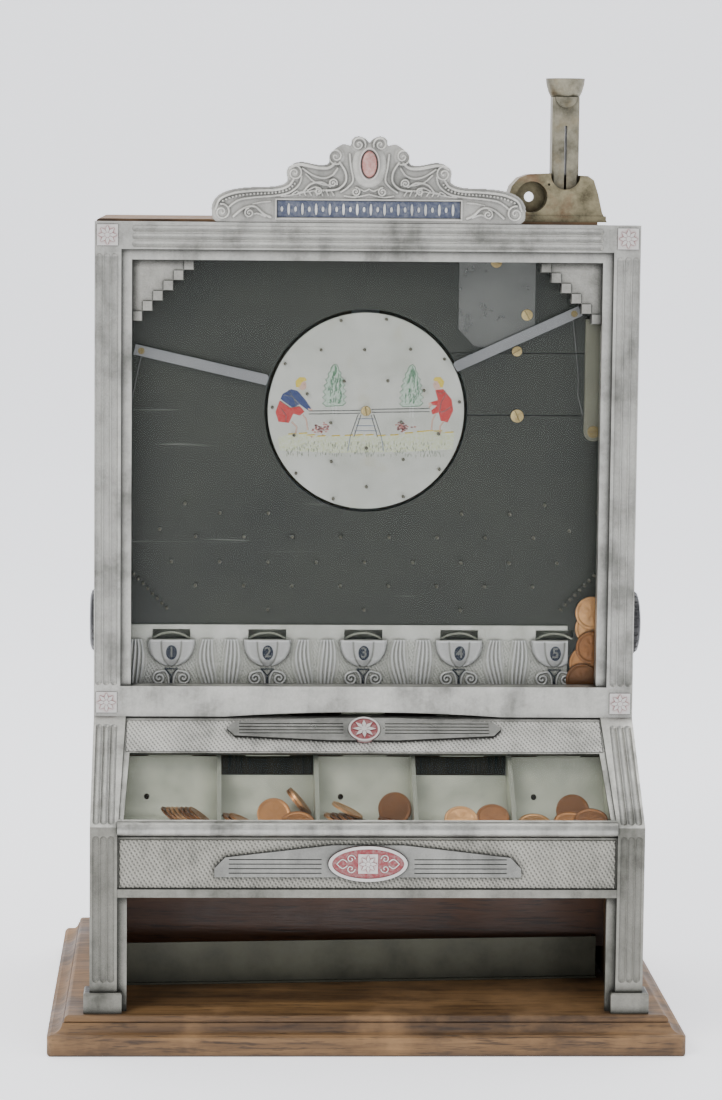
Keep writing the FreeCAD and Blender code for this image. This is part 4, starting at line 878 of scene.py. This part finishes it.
def build_seesaw():
    beams = [on_disc([(-33.0, -0.2), (-3.2, 0.3)]), on_disc([(3.2, 0.9), (37.0, 1.7)]),
             on_disc([(-33.0, -2.0), (-3.4, -1.4)]), on_disc([(3.4, -0.8), (37.0, -0.2)]),
             on_disc([(-4.5, -2.0), (-9.0, -15.0)]), on_disc([(4.5, -2.0), (9.0, -15.0)]),
             on_disc([(-3.0, -2.4), (-6.8, -15.0)]), on_disc([(3.0, -2.4), (6.8, -15.0)])]
    brush_lines("picture_seesaw", beams, 0.27, OUTLINE)
    legs = [on_disc([(-9.0, -15.0), (-10.4, -23.5)]), on_disc([(9.0, -15.0), (10.4, -23.5)]),
            on_disc([(-4.6, -4.6), (4.6, -4.6)]), on_disc([(-5.6, -8.6), (5.6, -8.6)]),
            on_disc([(-6.6, -11.5), (6.6, -11.5)])]
    brush_lines("picture_seesaw_rungs", legs, 0.26, SLATE_BLUE)


def build_children():
    """Two plain children, drawn from ovals and short strokes."""
    jacket = [(-43.5, 12.4), (-39.6, 11.4), (-35.4, 6.6), (-31.8, 1.4), (-33.4, 0.0), (-38.4, 3.6),
              (-42.6, 1.6), (-49.6, 6.6), (-48.4, 9.6)]
    painted_area("picture_left_jacket", [on_disc(jacket)], NAVY)
    trousers = [(-50.0, 5.8), (-43.4, 1.4), (-38.2, 2.6), (-35.6, -0.6), (-38.4, -3.0), (-42.0, -1.8),
                (-44.6, -7.2), (-50.6, -6.6), (-52.4, -1.0)]
    painted_area("picture_left_trousers", [on_disc(trousers)], SCARLET)
    coat = [(40.0, 12.4), (44.6, 13.0), (49.6, 7.0), (50.6, 0.4), (47.4, -6.4), (43.4, -5.4), (42.2, -0.6),
            (38.6, -1.8), (37.8, 0.4), (41.2, 3.4), (37.6, 3.6), (37.2, 5.2), (41.6, 6.6)]
    painted_area("picture_right_coat", [on_disc(coat)], SCARLET)
    fingers = [on_disc(ellipse(-31.8, 0.4, 0.9, 0.8, 10)), on_disc(ellipse(37.0, 4.3, 0.9, 0.8, 10))]
    painted_area("picture_hands", fingers, SKIN, 0.09)
    heads = [on_disc(ellipse(-37.0, 14.6, 2.5, 2.8, 18)), on_disc(ellipse(41.2, 15.4, 2.5, 2.8, 18))]
    painted_area("picture_heads", heads, SKIN)
    hair = [on_disc([(-40.6, 13.6), (-41.0, 17.0), (-38.6, 19.4), (-35.4, 19.2), (-34.4, 17.4), (-37.0, 16.6),
                     (-38.8, 13.4)]),
            on_disc([(44.4, 13.8), (45.2, 17.4), (43.0, 20.0), (39.8, 19.8), (38.6, 18.0), (41.4, 17.4),
                     (43.0, 14.0)])]
    painted_area("picture_hair", hair, YELLOW, 0.08)
    seams = [[(-47.6, 9.0), (-43.0, 8.2), (-38.4, 3.8)], [(-45.0, 12.0), (-41.6, 6.6), (-40.4, 3.4)],
             [(-49.4, 5.4), (-43.8, 1.6), (-38.6, 2.6)], [(-49.0, 1.0), (-46.2, -3.0), (-46.4, -6.8)],
             [(46.4, 10.4), (43.6, 5.6), (42.6, 0.0)], [(49.6, 3.0), (45.8, 0.2), (43.0, -0.4)],
             [(41.0, 11.6), (43.4, 10.2), (46.0, 12.0)]]
    brush_lines("picture_folds", [on_disc(seam) for seam in seams], 0.24, OUTLINE, 0.04)
    eyes = [on_disc(ellipse(-35.8, 15.0, 0.28, 0.36, 8)), on_disc(ellipse(40.0, 15.8, 0.28, 0.36, 8))]
    painted_area("picture_eyes", eyes, OUTLINE, 0.11)
    limbs = [[(-33.6, 1.2), (-32.0, 0.2)], [(-36.6, -2.4), (-34.6, -5.0), (-33.6, -11.2)],
             [(-43.0, -6.6), (-40.0, -9.4), (-40.6, -13.4)], [(38.4, 4.2), (36.4, 2.2)],
             [(40.4, -1.4), (38.6, -5.0), (38.0, -11.0)], [(45.4, -5.6), (43.0, -8.6), (43.2, -12.8)]]
    brush_lines("picture_limbs", [on_disc(limb) for limb in limbs], 0.55, SKIN, 0.3)


def build_lawn():
    """Shrubs, the strip of lawn, blades of grass and yellow turf."""
    blobs = []
    for cx, cz in ((-26.0, -10.3), (21.6, -8.8)):
        for _ in range(60):
            x, z = cx + RNG.normal(0, 2.7), cz + RNG.normal(0, 1.5)
            blobs.append(on_disc(ellipse(x, z, 0.55 + 0.35 * RNG.random(), 0.45, 7)))
    painted_area("picture_shrubs", blobs[::2], DUSTY_PINK)
    painted_area("picture_shrub_shade", blobs[1::4], DARK_ROSE, 0.08)
    top = smooth_line([(-51.0, -15.4), (-38, -13.2), (-28, -14.8), (-12, -14.4), (0, -14.0), (14, -14.2),
                       (30, -12.0), (40, -11.4), (51.5, -12.6)])
    band = list(top) + [(50.6, -22.0), (20, -23.8), (-20, -24.4), (-49.6, -23.2)]
    painted_area("picture_lawn", [on_disc(band)], PALE_GRASS, 0.015)
    tufts = []
    for _ in range(230):
        x = -46 + 92 * RNG.random()
        z = -27.0 + 8.0 * RNG.random()
        tufts.append(on_disc([(x, z), (x + 0.3 * (RNG.random() - 0.5), z + 1.5)]))
    brush_lines("picture_grass_blades", tufts, 0.17, SOIL, 0.08)
    glints = [on_disc([(x - 2.4, z), (x + 2.4, z + 0.3)]) for x, z in top[4:-2:3]]
    brush_lines("picture_yellow_turf", glints, 0.42, YELLOW, 0.25)


build_trees()
build_seesaw()
build_children()
build_lawn()


# ---- coins ---------------------------------------------------------------------
def loose_parts(node):
    """Points of each separate solid of a CAD node, in mm."""
    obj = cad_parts[node]
    points = np.array([obj.matrix_world @ v.co for v in obj.data.vertices]) / MM
    _, first, index = np.unique(np.round(points, 3), axis=0, return_index=True, return_inverse=True)
    index = index.reshape(-1)
    ends = index[np.array([e.vertices[:] for e in obj.data.edges])]
    label = np.arange(len(first))
    while True:
        before = label.copy()
        least = np.minimum(label[ends[:, 0]], label[ends[:, 1]])
        np.minimum.at(label, ends[:, 0], least)
        np.minimum.at(label, ends[:, 1], least)
        if (label == before).all():
            break
    return [points[first[label == part]] for part in np.unique(label)]


COIN_RINGS = (0.06, 0.16, 0.26, 0.34, 0.42, 0.50, 0.58, 0.66, 0.76, 0.83, 0.87, 0.91, 0.97, 1.0)


def struck_face(ring, angle):
    """How far a coin's face lies below its rim: a plain rim round a rosette of eight petals."""
    petals = 0.13 * math.exp(-((ring - 0.44) / 0.17) ** 2) * (0.5 + 0.5 * math.cos(8 * angle))
    button = 0.12 * math.exp(-(ring / 0.13) ** 2)
    if ring >= 1.0:
        return 0.08
    return 0.0 if ring > 0.86 else 0.24 - petals - button


def build_coins(node, name):
    """Struck coins in the places of the CAD's plain ones."""
    around = 56
    points, faces, smooth = [], [], []
    for part in loose_parts(node):
        centre = part.mean(axis=0)
        across, along, axis = np.linalg.svd(part - centre, full_matrices=False)[2]
        half = np.abs((part - centre) @ axis).max()
        radius = np.hypot((part - centre) @ across, (part - centre) @ along).max()
        if np.dot(np.cross(across, along), axis) < 0:
            axis = -axis
        start = len(points)
        rings = [(r, 1) for r in COIN_RINGS] + [(r, -1) for r in COIN_RINGS[::-1]]
        for ring, side in rings:
            for k in range(around):
                a = 2 * math.pi * k / around
                out = radius * ring * (math.cos(a) * across + math.sin(a) * along)
                points.append(tuple((centre + out + side * (half - struck_face(ring, a)) * axis) * MM))
        for r in range(len(rings) - 1):
            for k in range(around):
                a, b = start + r * around + k, start + r * around + (k + 1) % around
                faces.append([a, a + around, b + around, b])
                smooth.append(r != len(COIN_RINGS) - 1)
        last = start + (len(rings) - 1) * around
        faces += [[start + k for k in range(around)], [last + k for k in range(around)][::-1]]
        smooth += [True, True]
    coins = mesh_object(name, points, faces, smooth)
    finish_piece(coins, COPPER, "case", [node])


build_coins("channel_coins", "channel_coins_struck")
build_coins("compartment_coins", "tray_coins_struck")


# ---- plunger spring -----------------------------------------------------------------
def build_spring():
    """The coil under the plunger, in the place of the CAD spring."""
    low, high = corner("plunger_spring")
    wire = 0.45
    pitch = 2.6
    around = 10
    radius = (high.x - low.x) / 2 - wire
    centre = (low + high) / 2
    rise = high.z - low.z - 2 * wire
    turns = rise / pitch
    steps = int(28 * turns)
    points = []
    for k in range(steps + 1):
        a = 2 * math.pi * turns * k / steps
        z = low.z + wire + rise * k / steps
        for j in range(around):
            b = 2 * math.pi * j / around
            r = radius + wire * math.cos(b)
            points.append(((centre.x + r * math.cos(a)) * MM, (centre.y + r * math.sin(a)) * MM,
                           (z + wire * math.sin(b)) * MM))
    faces = [[around * (k + 1) + j, around * (k + 1) + (j + 1) % around, around * k + (j + 1) % around,
              around * k + j] for k in range(steps) for j in range(around)]
    faces += [list(range(around)), list(range(around * (steps + 1) - 1, around * steps - 1, -1))]
    spring = mesh_object("coil_spring", points, faces, [True] * (len(faces) - 2) + [False] * 2)
    finish_piece(spring, STEEL, "case", ["plunger_spring"])
    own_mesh(spring)


build_spring()


# ---- stage, light and camera -----------------------------------------------------
FLOOR_REACH = 9.0
BEND_START = 3.2
BEND_RADIUS = 1.4
BEND_STEPS = 12


def build_stage():
    """A pale paper floor that bends up into a far backdrop, in metres."""
    stage = Nodes("studio_paper", roughness=0.9)
    tints = [(0.3, (0.95, 0.95, 0.955)), (0.7, (0.97, 0.97, 0.975))]
    stage.colour(stage.ramp(stage.noise(1.5, 2, 0.5), tints))
    stage.shader.inputs["Emission Color"].default_value = (0.93, 0.94, 1.0, 1)
    stage.shader.inputs["Emission Strength"].default_value = 0.75
    profile = [(-FLOOR_REACH, 0.0), (BEND_START, 0.0)]
    for k in range(1, BEND_STEPS + 1):
        a = math.pi / 2 * k / BEND_STEPS
        profile.append((BEND_START + BEND_RADIUS * math.sin(a), BEND_RADIUS * (1 - math.cos(a))))
    profile.append((BEND_START + BEND_RADIUS, FLOOR_REACH))
    points = [(x, y, z) for y, z in profile for x in (-FLOOR_REACH, FLOOR_REACH)]
    faces = [[2 * k, 2 * k + 1, 2 * k + 3, 2 * k + 2] for k in range(len(profile) - 1)]
    floor = mesh_object("studio_floor", points, faces, [True] * len(faces))
    floor.data.materials.append(stage.material)


def area_light(name, place, target, size, power, colour=(1, 1, 1)):
    data = bpy.data.lights.new(name, "AREA")
    data.shape = "RECTANGLE"
    data.size, data.size_y = size
    data.energy = power
    data.color = colour
    obj = bpy.data.objects.new(name, data)
    bpy.context.scene.collection.objects.link(obj)
    obj.location = place
    obj.rotation_euler = (Vector(target) - Vector(place)).to_track_quat("-Z", "Y").to_euler()


def build_light():
    world = bpy.data.worlds.new("studio")
    bpy.context.scene.world = world
    world.use_nodes = True
    background = world.node_tree.nodes["Background"]
    background.inputs["Color"].default_value = (0.93, 0.95, 1.0, 1)
    background.inputs["Strength"].default_value = 0.85
    area_light("key_left", (-1.5, -1.6, 1.9), (0, 0, 0.25), (1.2, 0.9), 36, (1.0, 0.985, 0.95))
    area_light("fill_right", (1.9, -1.3, 1.1), (0, 0, 0.25), (1.4, 1.4), 9)
    area_light("top_soft", (0.1, 0.3, 2.3), (0, 0, 0.2), (2.2, 1.6), 30)


CAMERA_AT = (-0.09547, -1.90653, 0.49348)
CAMERA_YAW = math.radians(1.989)
CAMERA_PITCH = math.radians(-5.836)
CAMERA_ROLL = math.radians(0.505)
LENS = 106.6
SHIFT = (0.0446, -0.0444)


def build_camera():
    data = bpy.data.cameras.new("camera")
    data.lens = LENS
    data.sensor_width = 36.0
    data.sensor_fit = "AUTO"
    data.shift_x, data.shift_y = SHIFT
    forward = Vector((math.sin(CAMERA_YAW) * math.cos(CAMERA_PITCH),
                      math.cos(CAMERA_YAW) * math.cos(CAMERA_PITCH), math.sin(CAMERA_PITCH)))
    right = Vector((math.cos(CAMERA_YAW), -math.sin(CAMERA_YAW), 0))
    up = right.cross(forward)
    side = right * math.cos(CAMERA_ROLL) + up * math.sin(CAMERA_ROLL)
    top = up * math.cos(CAMERA_ROLL) - right * math.sin(CAMERA_ROLL)
    pose = Matrix((side, top, -forward)).transposed().to_4x4()
    pose.translation = Vector(CAMERA_AT)
    camera = bpy.data.objects.new("camera", data)
    bpy.context.scene.collection.objects.link(camera)
    camera.matrix_world = pose
    bpy.context.scene.camera = camera


build_stage()
build_light()
build_camera()

bpy.context.view_layer.update()
